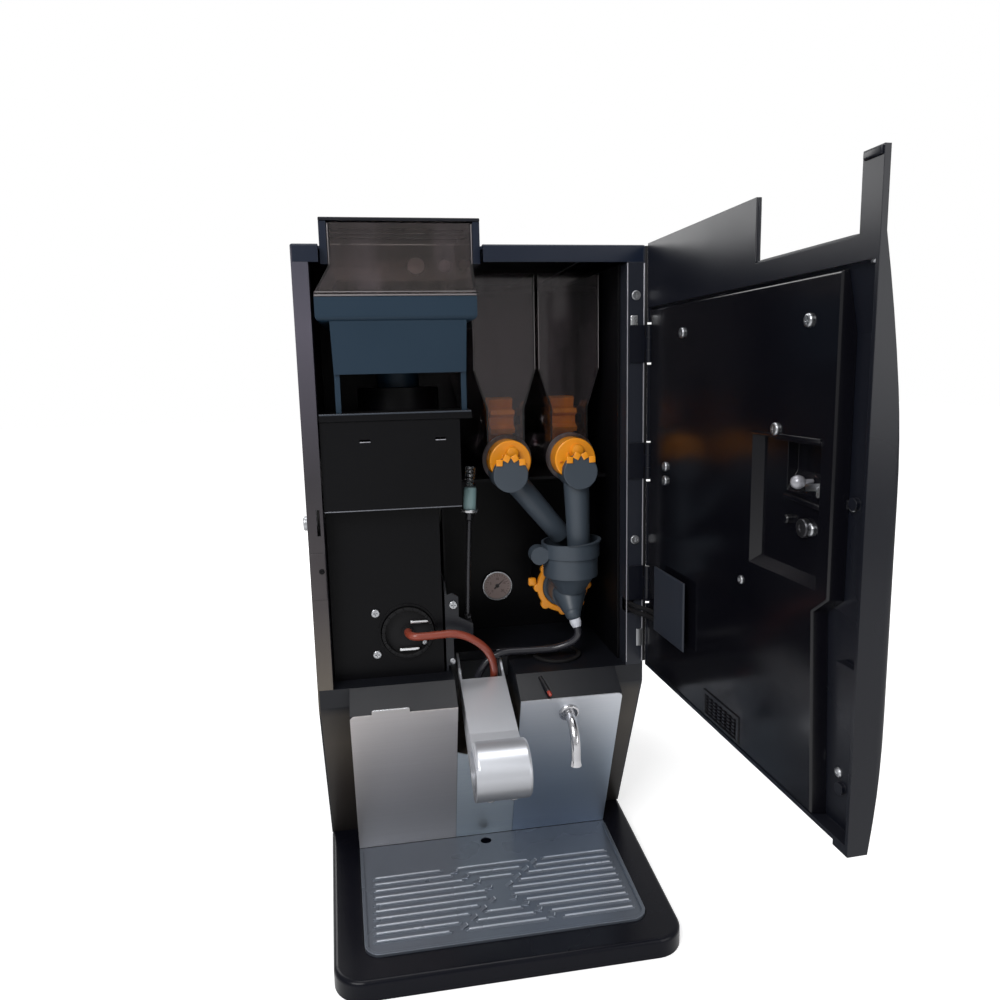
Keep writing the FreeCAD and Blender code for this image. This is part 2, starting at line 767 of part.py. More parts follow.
def hinge_ear(x, y, z):
    """Ear with a pin stub on each side, standing on a level face."""
    ear = join(block((x - EAR_W / 2, x + EAR_W / 2), (y - EAR_R, y + EAR_R), (z - 0.5, z + EAR_R)),
               rod((x - EAR_W / 2, y, z + EAR_R), (x + EAR_W / 2, y, z + EAR_R), EAR_R))
    pin = rod((x - EAR_W / 2 - 3, y, z + EAR_R), (x + EAR_W / 2 + 3, y, z + EAR_R), EAR_PIN_R)
    return join(ear, pin)


def lid(x, y, z, hinge_x, hinge_y):
    """Flat lid with knuckles round the pin stubs at its back edge."""
    plate = block(x, (y[0], hinge_y - EAR_R - 1.2), (z + SEAT, z + SEAT + LID_T))
    plate = rounded(plate, 1.2, lambda e: middle(e).z > z + LID_T)
    for ear_x in hinge_x:
        for side in (-1, 1):
            near = ear_x + side * (EAR_W / 2 + 0.4)
            far = ear_x + side * (EAR_W / 2 + 3)
            span = sorted((near, far))
            tongue = block(span, (hinge_y - EAR_R - 2, hinge_y), (z + SEAT, z + SEAT + LID_T))
            curl = rod((span[0], hinge_y, z + EAR_R), (span[1], hinge_y, z + EAR_R), EAR_R - SEAT)
            plate = join(plate, tongue, curl)
            plate = plate.cut(rod((span[0], hinge_y, z + EAR_R), (span[1], hinge_y, z + EAR_R),
                                  EAR_PIN_R + HINGE_RUN))
    return plate


def hopper_lid():
    x = (HOPPER_X[0] - COLLAR_T, HOPPER_X[1] + COLLAR_T)
    ears = (HOPPER_X[0] + 15, HOPPER_X[1] - 15)
    return lid(x, (HOPPER_Y[0] - 3, 0), LID_Z, ears, HOPPER_Y[1] + 4.5)


def top_lid():
    x, y = lid_opening()
    ears = (x[0] + 20, x[1] - 20)
    return lid((x[0] - LID_SIDE_LAP, x[1] + LID_SIDE_LAP), (y[0] - LID_LAP, 0), TOP, ears, y[1] + 6)


# Lower front moulding

def splash_y(z):
    """Front of the splash panels at a height."""
    return SPLASH_FOOT_Y - math.tan(math.radians(LEAN)) * (z - BASE_T)


def box_profile(top_z, top_back):
    """Side view of the moulded boxes behind the splash panels."""
    skin = SPLASH_T / math.cos(math.radians(LEAN)) + PANEL_GAP / 2
    return [(splash_y(top_z) + skin, top_z), top_back, (CHEEK_FOOT_Y, BASE_T),
            (SPLASH_FOOT_Y + skin, BASE_T)]


def hollow_box(x, profile):
    """Moulded box with a wall, closed at its ends."""
    outer = prism("x", x[0], x[1], profile)
    inner = inset("x", x[0] + WALL, x[1] - WALL, profile, WALL)
    return outer.cut(inner)


def recess_housing():
    side = HALF - SKIN
    t = FLOOR_T
    skin = [(0, LEDGE), (BAY_DEPTH, LEDGE), (BAY_DEPTH, LEDGE - t), (t, LEDGE - t), (t, SPLASH_TOP),
            (CHEEK_FOOT_Y + t, BASE_T), (CHEEK_FOOT_Y, BASE_T), (0, SPLASH_TOP)]
    body = prism("x", -side, side, skin)
    well = prism("x", BOX_IN_LEFT, BOX_IN_RIGHT, [
        (-BASE_REACH, CENTRE_TOP), (-BASE_REACH, LEDGE + 1), (WELL_BACK_Y - WALL, LEDGE + 1),
        (WELL_BACK_Y - WALL, CENTRE_TOP)])
    well_skin = block((BOX_IN_LEFT - WALL, BOX_IN_RIGHT + WALL), (t, WELL_BACK_Y),
                      (CENTRE_TOP - WALL, LEDGE - t))
    tall = box_profile(SPLASH_TOP, (0, LEDGE))
    centre = box_profile(CENTRE_TOP, (CHEEK_FOOT_Y / 2, CENTRE_TOP))
    body = join(body, well_skin, hollow_box((-BOX_OUT_X, BOX_IN_LEFT), tall),
                hollow_box((BOX_IN_RIGHT, BOX_OUT_X), tall),
                hollow_box((BOX_IN_LEFT, BOX_IN_RIGHT), centre))
    body = body.cut(well)
    x, z = SPOUT_X, BASE_T + SPOUT_H
    hole = rod((x, splash_y(z) - 5, z - 2), (x, splash_y(z) + 6, z + 2), SPOUT_R + 1)
    return body.cut(hole)


def lean_back(shape):
    """Tips an upright panel forwards onto the line of the lower front."""
    shape.rotate(V(0, SPLASH_FOOT_Y, BASE_T), V(1, 0, 0), LEAN)
    return shape


def splash_panel(x, height, corner):
    """Steel panel drawn upright on its foot line, then leaned."""
    length = height / math.cos(math.radians(LEAN))
    y = (SPLASH_FOOT_Y, SPLASH_FOOT_Y + SPLASH_T)
    panel = block(x, y, (BASE_T + PANEL_GAP, BASE_T + length))
    if corner:
        panel = rounded(panel, corner, lambda e: runs_along(e, "y") and middle(e).z > BASE_T + 50
                        and abs(middle(e).x) > BOX_IN_RIGHT + 20)
    return panel, BASE_T + length


def splash_left():
    panel, top = splash_panel((-BOX_OUT_X, BOX_IN_LEFT - PANEL_GAP), SPLASH_H, 5)
    y = (SPLASH_FOOT_Y, SPLASH_FOOT_Y + SPLASH_T)
    tab = block(TAB_X, y, (top - 2, top + TAB_RISE))
    tab = rounded(tab, 2, lambda e: runs_along(e, "y") and middle(e).z > top)
    return lean_back(join(panel, tab))


def splash_centre():
    panel, top = splash_panel((BOX_IN_LEFT, BOX_IN_RIGHT - PANEL_GAP), CENTRE_H, 0)
    y = (SPLASH_FOOT_Y - 5, SPLASH_FOOT_Y + SPLASH_T)
    ear = prism("y", y[0], y[1], [(BOX_IN_LEFT, top - 1), (BOX_IN_LEFT + 12, top - 1),
                                  (BOX_IN_LEFT, top + 4)])
    ear = ear.cut(block((-HALF, HALF), (y[0] - 1, SPLASH_FOOT_Y), (0, TOP)))
    return lean_back(join(panel, ear))


def splash_right():
    panel, top = splash_panel((BOX_IN_RIGHT, BOX_OUT_X), SPLASH_H, 5)
    up = SPOUT_H / math.cos(math.radians(LEAN))
    z = BASE_T + up
    panel = panel.cut(rod((SPOUT_X, 0, z), (SPOUT_X, DEPTH, z), SPOUT_R + 0.5))
    return lean_back(panel)


def hot_water_spout():
    """Flange on the right panel and a bent tube with a flared end."""
    z = BASE_T + SPOUT_H / math.cos(math.radians(LEAN))
    y = SPLASH_FOOT_Y
    flange = rod((SPOUT_X, y - SPOUT_FLANGE_T, z), (SPOUT_X, y, z), SPOUT_FLANGE_R)
    flange = rounded(flange, SPOUT_FLANGE_T * 0.8, lambda e: middle(e).y < y - 0.5
                     and e.Curve.TypeId == "Part::GeomCircle")
    flange = lean_back(flange)
    root = lean_back(Part.Vertex(SPOUT_X, y + 5, z)).Point
    out = lean_back(Part.Vertex(SPOUT_X, y - SPOUT_OUT, z)).Point
    tip = V(SPOUT_X, out.y, BASE_T + SPOUT_H - SPOUT_FALL)
    back = (root - out).normalize()
    down = (tip - out).normalize()
    half = (math.pi - back.getAngle(down)) / 2
    cut = SPOUT_BEND_R * math.tan(half)
    inward = (back + down).normalize()
    via = out + inward * (SPOUT_BEND_R / math.cos(half) - SPOUT_BEND_R)
    path = Part.Wire([
        Part.LineSegment(root, out + back * cut).toShape(),
        Part.Arc(out + back * cut, via, out + down * cut).toShape(),
        Part.LineSegment(out + down * cut, tip).toShape()])
    ring = Part.Wire(Part.makeCircle(SPOUT_R, root, out - root))
    bore = Part.Wire(Part.makeCircle(SPOUT_BORE, root, out - root))
    pipe = path.makePipeShell([ring], True, False)
    hollow = path.makePipeShell([bore], True, False)
    flare = Part.makeCone(SPOUT_R, SPOUT_R + 1, 6, tip + V(0, 0, 3), V(0, 0, -1))
    mouth = rod(tuple(tip + V(0, 0, 6)), tuple(tip - V(0, 0, 4)), SPOUT_BORE)
    return join(flange, pipe, flare).cut(hollow).cut(mouth)


# Outlet arm

def arm_way():
    """Unit steps down the arm and square to its top face, in the side view."""
    a = math.radians(ARM_SLOPE)
    return (-math.cos(a), -math.sin(a)), (-math.sin(a), math.cos(a))


def arm_point(along, up):
    """Side-view point measured from the pivot, along the arm and square to its top face."""
    d, n = arm_way()
    return (ARM_PIVOT_Y + d[0] * along + n[0] * (up + ARM_TOP_DROP),
            ARM_PIVOT_Z + d[1] * along + n[1] * (up + ARM_TOP_DROP))


def nose_point(degrees, radius=NOSE_R):
    """Side-view point on the nose, measured from straight up and forwards."""
    a = math.radians(degrees)
    return NOSE_Y - radius * math.sin(a), NOSE_Z + radius * math.cos(a)


def arm_profile():
    """Side view of the arm: ear, top face, nose and underside."""
    top = arm_point(0, ARM_EAR_R - ARM_TOP_DROP)
    return [
        top, arm_point(ARM_CUT - 8, 0), arm_point(ARM_REACH, 0), nose_point(60),
        (nose_point(110), nose_point(180)), nose_point(240), arm_point(ARM_CUT + 20, -24),
        arm_point(0, -ARM_EAR_R - ARM_TOP_DROP), (arm_point(-ARM_EAR_R, -ARM_TOP_DROP), top),
    ]


def outlet_arm():
    """Open-backed channel with two ears, a hollow round nose and two outlets."""
    body = prism("x", -ARM_HALF, ARM_HALF, arm_profile())
    nose = rod((NOSE_X[0], NOSE_Y, NOSE_Z), (NOSE_X[1], NOSE_Y, NOSE_Z), NOSE_R)
    nose = rounded(nose, 3, lambda e: e.Curve.TypeId == "Part::GeomCircle")
    inside = ARM_HALF - ARM_WALL
    channel = prism("x", -inside, inside, [
        arm_point(-2 * ARM_EAR_R, -ARM_WALL), arm_point(ARM_REACH - 4, -ARM_WALL),
        arm_point(ARM_REACH - 4, -24), arm_point(60, -60), arm_point(-2 * ARM_EAR_R, -60)])
    mouth = prism("x", -inside, inside, [
        arm_point(-2 * ARM_EAR_R, -60), arm_point(ARM_CUT, -60), arm_point(ARM_CUT, 20),
        arm_point(-2 * ARM_EAR_R, 20)])
    body = join(body, nose).cut(nose_hollow()).cut(channel).cut(mouth)
    centre = (NOSE_X[0] + NOSE_X[1]) / 2
    for side, end in zip((-1, 1), NOSE_X):
        x = centre + side * OUTLET_SPACING / 2
        floor_z = NOSE_Z - NOSE_R
        spout = rod((x, NOSE_Y, floor_z + 10), (x, NOSE_Y, floor_z - OUTLET_DROP), OUTLET_R)
        body = join(body, spout)
        body = body.cut(rod((x, NOSE_Y, floor_z + 12), (x, NOSE_Y, floor_z - 9), OUTLET_R - 1.3))
        body = body.cut(rod((end - side * NOSE_DISC_DEPTH, NOSE_Y, NOSE_Z), (end + side, NOSE_Y, NOSE_Z),
                            NOSE_DISC_R))
    return body.cut(rod((-HALF, ARM_PIVOT_Y, ARM_PIVOT_Z), (HALF, ARM_PIVOT_Y, ARM_PIVOT_Z),
                        ARM_PIN_R + HINGE_RUN))


def nose_hollow():
    """Space inside the nose, joined to the channel."""
    core = rod((NOSE_X[0] + 5, NOSE_Y, NOSE_Z), (NOSE_X[1] - 5, NOSE_Y, NOSE_Z), NOSE_R - ARM_WALL)
    floor_z = NOSE_Z - NOSE_R + 8
    return core.common(block(NOSE_X, (-DEPTH, DEPTH), (floor_z, TOP)))


def arm_bracket():
    """Two ears with pivot pins beside the arm, a tall left upright and a table for the pipe."""
    out = ARM_HALF + SEAT
    ear_t = BOX_IN_RIGHT - out - SEAT
    pieces = []
    for side in (-1, 1):
        x = sorted((side * out, side * (out + ear_t)))
        ear = prism("x", x[0], x[1], [
            (ARM_PIVOT_Y - 8, LEDGE - 18), (ARM_PIVOT_Y - 8, ARM_PIVOT_Z),
            ((ARM_PIVOT_Y, ARM_PIVOT_Z + 8), (ARM_PIVOT_Y + 8, ARM_PIVOT_Z)),
            (WELL_BACK_Y - WALL, LEDGE - 8), (WELL_BACK_Y - WALL, LEDGE - 18)])
        pin = rod((side * (out + ear_t / 2), ARM_PIVOT_Y, ARM_PIVOT_Z),
                  (side * (ARM_HALF - ARM_WALL - 1), ARM_PIVOT_Y, ARM_PIVOT_Z), ARM_PIN_R)
        pieces.append(join(ear, pin))
    back = block((-out - ear_t, out + ear_t), (WELL_BACK_Y - WALL - 2, WELL_BACK_Y - WALL),
                 (LEDGE - 40, LEDGE - 10))
    x = BRACKET_X
    foot_z = LEDGE + SEAT
    upright = prism("x", x, x + BRACKET_T, [
        (BRACKET_FRONT, foot_z), (BRACKET_FRONT, BRACKET_TOP - 12), (BRACKET_FRONT + 12, BRACKET_TOP),
        (WELL_BACK_Y - WALL, BRACKET_TOP), (WELL_BACK_Y - WALL, foot_z)])
    foot = block((x, -out), (ARM_PIVOT_Y - 6, ARM_PIVOT_Y + 6), (foot_z, foot_z + 3))
    table_z = PIPE_FOOT.z - SEAT
    right = PIPE_FOOT.x + PIPE_R + 1.5
    face = prism("y", BRACKET_FRONT, BRACKET_FRONT + BRACKET_T, [
        (x, LEDGE + 6), (x + 8, LEDGE + 6), (x + 8, LEDGE + BRACKET_TABLE_H), (right, LEDGE + BRACKET_TABLE_H),
        (right, table_z), (x + 14, table_z + 8), (x + 14, BRACKET_TOP - 14), (x + 8, BRACKET_TOP - 10),
        (x, BRACKET_TOP - 12)])
    table = block((x, right), (BRACKET_FRONT, PIPE_Y + PIPE_R + 3), (table_z - BRACKET_T, table_z))
    return join(pieces[0], pieces[1], back, upright, foot, face, table)


# Bay linings and covers

def bay_liner():
    """Back wall, right wall, partition and canister shelf of the right bay."""
    back_y = (BAY_DEPTH, BAY_DEPTH + WALL)
    shelf_top = CANISTER_FLOOR
    back = block((PARTITION_X, IN_RIGHT), back_y, (LEDGE, shelf_top))
    right = block((IN_RIGHT - WALL, IN_RIGHT), (STRIP_LIP + SEAT, BAY_DEPTH + WALL), (LEDGE, BEAM_Z))
    low_wall = block((PARTITION_X, PARTITION_X + WALL), (WELL_BACK_Y + 2, BAY_DEPTH + WALL),
                     (LEDGE, shelf_top))
    shelf = block((PARTITION_X, IN_RIGHT), (CANISTER_Y[0], CANISTER_Y[1]), (shelf_top - SHELF2_T, shelf_top))
    rib_shape = prism("y", CANISTER_Y[0] + 2, CANISTER_Y[0] + 12, [
        (PARTITION_X + WALL, shelf_top - SHELF2_T), (PARTITION_X + WALL, shelf_top - 18),
        (PARTITION_X + 20, shelf_top - SHELF2_T)])
    liner = join(back, right, low_wall, shelf, rib_shape)
    gauge = rod((GAUGE_X, BAY_DEPTH - 5, GAUGE_Z), (GAUGE_X, BAY_DEPTH + 9, GAUGE_Z), GAUGE_R - 4)
    motor = rod((BOWL_X, BAY_DEPTH - 5, CHAMBER_Z), (BOWL_X, BAY_DEPTH + 9, CHAMBER_Z), FLANGE_R + SEAT)
    return liner.cut(gauge).cut(motor)


def brew_cover_upper():
    """Upper black cover with the hopper shelf on top, a fold below and two small slots."""
    x = (COVER_LEFT_X, UPPER_RIGHT_X)
    face = block(x, (COVER_Y, COVER_Y + COVER_T), (COVER_SEAM_Z, SHELF_Z))
    fold = block(x, (COVER_Y, LOWER_COVER_Y + COVER_T), (COVER_SEAM_Z, COVER_SEAM_Z + WALL))
    shelf = block((x[0], x[1] + SHELF_OVER), (COVER_Y - 2, SHELF_DEPTH), (SHELF_Z, SHELF_Z + SHELF_T))
    shelf = rounded(shelf, 2, lambda e: middle(e).y < COVER_Y - 1 and runs_along(e, "x"))
    gusset = [block((side, side + WALL), (COVER_Y + COVER_T, SHELF_DEPTH - 20), (SHELF_Z - 30, SHELF_Z))
              for side in (x[0], x[1] - WALL)]
    cover = join(face, fold, shelf, *gusset)
    for slot_x in SLOT_X:
        cover = cover.cut(block((slot_x - SLOT_W / 2, slot_x + SLOT_W / 2), (0, COVER_Y + COVER_T + 1),
                                (SLOT_Z - SLOT_H / 2, SLOT_Z + SLOT_H / 2)))
    return cover


def brew_cover_lower():
    """Recessed lower black cover with a round opening for the brew outlet fitting."""
    x = (COVER_LEFT_X, LOWER_RIGHT_X)
    top = COVER_SEAM_Z - PANEL_GAP
    face = block(x, (LOWER_COVER_Y, LOWER_COVER_Y + COVER_T), (LEDGE, top))
    edges = [block((side, side + WALL), (LOWER_COVER_Y, LOWER_COVER_Y + 5), (LEDGE, top))
             for side in (x[0], x[1] - WALL)]
    rim = sleeve((FITTING_X, LOWER_COVER_Y - 1.5, FITTING_Z), (FITTING_X, LOWER_COVER_Y + 1, FITTING_Z),
                 FITTING_R + 3, FITTING_R + 1)
    cover = join(face, rim, *edges)
    return cover.cut(rod((FITTING_X, 0, FITTING_Z), (FITTING_X, LOWER_COVER_Y + 9, FITTING_Z), FITTING_R + 1))


# Hopper

def ring_section(x, y, z, wall):
    """Rectangle wire at a height, drawn in by a wall."""
    return Part.makePolygon([V(x[0] + wall, y[0] + wall, z), V(x[1] - wall, y[0] + wall, z),
                             V(x[1] - wall, y[1] - wall, z), V(x[0] + wall, y[1] - wall, z),
                             V(x[0] + wall, y[0] + wall, z)])


def hood_solid(wall, extra):
    """Outer or inner form of the clear hood: straight, flared and straight again."""
    levels = [
        (HOOD_LIP_X, HOOD_LIP_Y, HOOD_BOTTOM_Z - extra), (HOOD_LIP_X, HOOD_LIP_Y, HOOD_FLARE_Z[0]),
        (HOPPER_X, HOPPER_Y, HOOD_FLARE_Z[1]), (HOPPER_X, HOPPER_Y, HOOD_TOP_Z + extra)]
    wires = [ring_section(x, y, z, wall) for x, y, z in levels]
    parts = [Part.makeLoft([a, b], True, True) for a, b in zip(wires, wires[1:])]
    return join(*parts)


def hopper_window():
    """Clear brown hood of the hopper, open at top and bottom."""
    hood = hood_solid(0, 0).cut(hood_solid(HOPPER_WALL, 0.5))
    for row in range(3):
        z = HOOD_TOP_Z - 6 - row * 4
        hood = join(hood, rod((HOPPER_X[0] + 2, HOPPER_Y[0], z), (HOPPER_X[1] - 2, HOPPER_Y[0], z), 0.8)
                    .common(block((-HALF, HALF), (0, HOPPER_Y[0] + 1), (0, LID_Z))))
    return hood


def bin_solid(wall, extra):
    """Outer or inner form of the bin: lip, body, funnel and throat."""
    lip = block((HOOD_LIP_X[0] + wall, HOOD_LIP_X[1] - wall), (HOOD_LIP_Y[0] + wall, HOOD_LIP_Y[1] - wall),
                (BIN_LIP_Z + wall, HOOD_BOTTOM_Z + extra))
    if not wall:
        lip = rounded(lip, 5, lambda e: middle(e).z < BIN_LIP_Z + 0.1 and not runs_along(e, "z"))
    sides = [ring_section(BIN_BODY_X, BIN_BODY_Y, BIN_BODY_Z + wall, wall + BIN_DRAFT),
             ring_section(BIN_BODY_X, BIN_BODY_Y, BIN_LIP_Z + 2 * wall + 1, wall)]
    body = Part.makeLoft(sides, True, True)
    neck = rod((THROAT_X, THROAT_Y, THROAT_Z - extra), (THROAT_X, THROAT_Y, BIN_BODY_Z + 2 * wall + 1),
               THROAT_R - wall)
    return join(lip, body, neck)


def hopper_bin():
    """Blue-grey lower hopper with two legs down to the shelf."""
    body = bin_solid(0, 0).cut(bin_solid(HOPPER_WALL, 1))
    legs = []
    for x in (BIN_BODY_X[0] + BIN_DRAFT, BIN_BODY_X[1] - BIN_DRAFT - LEG_W):
        legs.append(block((x, x + LEG_W), (BIN_BODY_Y[0] + 4, BIN_BODY_Y[0] + 7),
                          (SHELF_Z + SHELF_T, BIN_BODY_Z)))
    return join(body, *legs)


# Canisters, augers and wheels

def canister_outline(wall, top_z):
    """Front view of a canister round x = 0: round trough, sloped sides, straight top."""
    half = CANISTER_W / 2 - wall
    r = TROUGH_R + CANISTER_WALL - wall
    return [(-half, top_z), (half, top_z), (half, TROUGH_TOP_Z + 20), (r, TROUGH_TOP_Z - 20),
            (r, AUGER_Z), ((0, AUGER_Z - r), (-r, AUGER_Z)), (-r, TROUGH_TOP_Z - 20),
            (-half, TROUGH_TOP_Z + 20)]


def canister(x):
    """Clear box with a trough for the auger and an outlet tube at the front."""
    y = CANISTER_Y
    outer = prism("y", y[0], y[1], canister_outline(0, CANISTER_TOP_Z))
    inner = prism("y", y[0] + CANISTER_WALL, y[1] - CANISTER_WALL,
                  canister_outline(CANISTER_WALL, CANISTER_TOP_Z + 1))
    tube = rod((0, y[0] - CAP_REACH + CAP_T + 2, AUGER_Z), (0, y[0] + 1, AUGER_Z), OUTLET_TUBE_R + CANISTER_WALL)
    shell = join(outer, tube).cut(inner)
    shell = shell.cut(rod((0, 0, AUGER_Z), (0, y[0] + CANISTER_WALL + 1, AUGER_Z), OUTLET_TUBE_R))
    drop = block((-8, 8), (y[0] - CAP_REACH + CAP_T + 5, y[0] - 5), (AUGER_Z - 30, AUGER_Z))
    shell = shell.cut(drop)
    for side in (-1, 1):
        near = side * (WHEEL_W / 2 + SEAT)
        wall_x = side * (TROUGH_R + CANISTER_WALL)
        boss = rod((wall_x, WHEEL_Y, WHEEL_Z), (near, WHEEL_Y, WHEEL_Z), WHEEL_PIN_R + 2)
        shell = join(shell, boss.cut(inner_skin()))
        shell = join(shell, rod((wall_x, WHEEL_Y, WHEEL_Z), (near - side * 5, WHEEL_Y, WHEEL_Z), WHEEL_PIN_R))
    shell = shell.cut(rod((0, y[1] - 5, AUGER_Z), (0, y[1] + 1, AUGER_Z), AUGER_SHAFT_R + HINGE_RUN))
    shell.translate(V(x, 0, 0))
    return shell


def inner_skin():
    """Everything outside the canister's side walls, so that bosses end flush."""
    far = block((-WIDTH, WIDTH), (0, DEPTH), (0, TOP + 100))
    return far.cut(prism("y", 0, DEPTH, canister_outline(0, CANISTER_TOP_Z)))


def auger(x):
    """Shaft with a wound square wire, and a drive hub behind."""
    y_start = CANISTER_Y[0] - CAP_REACH + CAP_T + 6
    y_end = CANISTER_Y[1] + 2.5
    shaft = rod((0, y_start, AUGER_Z), (0, y_end, AUGER_Z), AUGER_SHAFT_R)
    wire_r = AUGER_R - AUGER_WIRE / 2
    coil = coil_solid(wire_r)
    spokes = []
    for turn in range(1, int(AUGER_TURNS), 2):
        y = WHEEL_Y + (turn - 2) * AUGER_PITCH
        spokes.append(rod((0, y, AUGER_Z), (0, y, AUGER_Z + wire_r), AUGER_WIRE * 0.4))
    body = shaft.multiFuse([coil] + spokes)
    body.translate(V(x, 0, 0))
    return body


def coil_solid(radius):
    """Square wire wound along Y on arcs of a quarter turn, from half a turn before the outlet."""
    edges = []
    steps = round(AUGER_TURNS * 4)
    start_y = WHEEL_Y - AUGER_PITCH * 2.5

    def at(turns):
        a = 2 * math.pi * (turns + 0.5)
        return V(radius * math.sin(a), start_y + AUGER_PITCH * turns, AUGER_Z + radius * math.cos(a))

    for step in range(steps):
        t = step / 4
        edges.append(Part.Arc(at(t), at(t + 0.125), at(t + 0.25)).toShape())
    path = Part.Wire(edges)
    h = AUGER_WIRE / 2
    corners = [V(0, start_y - h, AUGER_Z - radius + h), V(0, start_y + h, AUGER_Z - radius + h),
               V(0, start_y + h, AUGER_Z - radius - h), V(0, start_y - h, AUGER_Z - radius - h)]
    section = Part.makePolygon(corners + corners[:1])
    return path.makePipeShell([section], True, False)


def mix_wheel(x):
    """Toothed stirring wheel turned by the auger."""
    root_r = SHAFT_PITCH_R - WHEEL_BITE * 2
    rim = sleeve((-WHEEL_W / 2, WHEEL_Y, WHEEL_Z), (WHEEL_W / 2, WHEEL_Y, WHEEL_Z), root_r, root_r - 3)
    hub = rod((-WHEEL_W / 2, WHEEL_Y, WHEEL_Z), (WHEEL_W / 2, WHEEL_Y, WHEEL_Z), WHEEL_HUB_R)
    pieces = [hub]
    for tooth in range(WHEEL_TEETH):
        bar = block((-WHEEL_W / 2, WHEEL_W / 2), (WHEEL_Y - WHEEL_TOOTH / 2, WHEEL_Y + WHEEL_TOOTH / 2),
                    (WHEEL_Z - WHEEL_R, WHEEL_Z - root_r + 2))
        bar.rotate(V(0, WHEEL_Y, WHEEL_Z), V(1, 0, 0), 360.0 / WHEEL_TEETH * (tooth + 0.5))
        pieces.append(bar)
    for spoke in range(4):
        bar = block((-WHEEL_W / 4, WHEEL_W / 4), (WHEEL_Y - 1.5, WHEEL_Y + 1.5),
                    (WHEEL_Z - root_r + 2, WHEEL_Z))
        bar.rotate(V(0, WHEEL_Y, WHEEL_Z), V(1, 0, 0), 90.0 * spoke)
        pieces.append(bar)
    wheel = rim.multiFuse(pieces).removeSplitter()
    bore = rod((-WHEEL_W, WHEEL_Y, WHEEL_Z), (WHEEL_W, WHEEL_Y, WHEEL_Z), WHEEL_PIN_R + HINGE_RUN)
    wheel = wheel.cut(bore)
    wheel.translate(V(x, 0, 0))
    return wheel


def outlet_cap(x):
    """Orange twist cap on the outlet tube, with a window and a crescent grip."""
    front = CANISTER_Y[0] - CAP_REACH
    bore = OUTLET_TUBE_R + CANISTER_WALL + HINGE_RUN
    cup = rod((0, front, AUGER_Z), (0, CANISTER_Y[0] - SEAT, AUGER_Z), CAP_R)
    cup = rounded(cup, 1.5, lambda e: middle(e).y < front + 0.5 and e.Curve.TypeId == "Part::GeomCircle")
    cup = cup.cut(rod((0, front + CAP_T, AUGER_Z), (0, DEPTH, AUGER_Z), bore))
    window = block((-9, 9), (front + CAP_T + 3, CANISTER_Y[0] - 4), (AUGER_Z - 30, AUGER_Z - 8))
    cup = cup.cut(window)
    grip = rod((0, front - 3, AUGER_Z + 3), (0, front + 1, AUGER_Z + 3), 9)
    grip = grip.cut(rod((0, front - 4, AUGER_Z + 8), (0, front, AUGER_Z + 8), 8))
    for notch in range(5):
        a = math.radians(200 + notch * 35)
        grip = grip.cut(rod((9 * math.cos(a), front - 4, AUGER_Z + 3 + 9 * math.sin(a)),
                            (9 * math.cos(a), front, AUGER_Z + 3 + 9 * math.sin(a)), 1.2))
    cup = join(cup, grip)
    cup.translate(V(x, 0, 0))
    return cup


def dosing_motors():
    """Two gear motors behind the canisters, on a plate on the shelf's end."""
    motors = []
    for x in CANISTER_X:
        y = CANISTER_Y[1] + 3
        gearbox = block((x - 22, x + 22), (y, y + 26), (AUGER_Z - 22, AUGER_Z + 30))
        gearbox = rounded(gearbox, 6, lambda e: runs_along(e, "y"))
        motor = rod((x, y + 26, AUGER_Z + 8), (x, y + 62, AUGER_Z + 8), 16)
        foot = block((x - 20, x + 20), (y, y + 40), (CANISTER_FLOOR - SHELF2_T - 4, AUGER_Z - 20))
        motors.append(join(gearbox, motor, foot))
    return group(motors)


def motor_shelf():
    """The bay liner's shelf runs on under the motors."""
    return block((PARTITION_X, IN_RIGHT), (CANISTER_Y[1], CANISTER_Y[1] + 50),
                 (CANISTER_FLOOR - SHELF2_T - 7, CANISTER_FLOOR - SHELF2_T - 4))


# Powder chutes and mixer

def powder_chutes():
    """Left slanting chute and right upright chute with round heads under the caps."""
    left = chute(0, (CHUTE_HEAD_X[0] + 3.6, CHUTE_Y, CHUTE_HEAD_Z - 4),
                 (BOWL_X - 7, BOWL_Y + 14, BOWL_TOP_Z + 1), CHUTE_LEFT_R)
    right = chute(1, (CHUTE_HEAD_X[1], CHUTE_Y, CHUTE_HEAD_Z - 4),
                  (BOWL_X + 7, BOWL_Y - 8, BOWL_TOP_Z - 8), CHUTE_RIGHT_R)
    return group([left, right])


def chute(number, start, foot, radii):
    """Lying round head open under its cap, and a tapered tube down to the bowl."""
    x = CHUTE_HEAD_X[number]
    back = CANISTER_Y[0] - 6
    top_r, foot_r = radii
    head = rod((x, CHUTE_FRONT_Y, CHUTE_HEAD_Z), (x, back, CHUTE_HEAD_Z), CHUTE_HEAD_R)
    head = rounded(head, 1, lambda e: middle(e).y < CHUTE_FRONT_Y + 0.5
                   and e.Curve.TypeId == "Part::GeomCircle")
    start = V(*start)
    way = V(*foot) - start
    body = join(head, Part.makeCone(top_r, foot_r, way.Length, start, way))
    body = body.cut(rod((x, CHUTE_FRONT_Y + 4, CHUTE_HEAD_Z), (x, back + 1, CHUTE_HEAD_Z),
                        CHUTE_HEAD_R - CHUTE_WALL))
    body = body.cut(Part.makeCone(top_r - CHUTE_WALL, foot_r - CHUTE_WALL, way.Length + 1, start, way))
    cap_x = CANISTER_X[number]
    return body.cut(rod((cap_x, CHUTE_FRONT_Y + 8, AUGER_Z), (cap_x, DEPTH, AUGER_Z), CAP_R + 1))


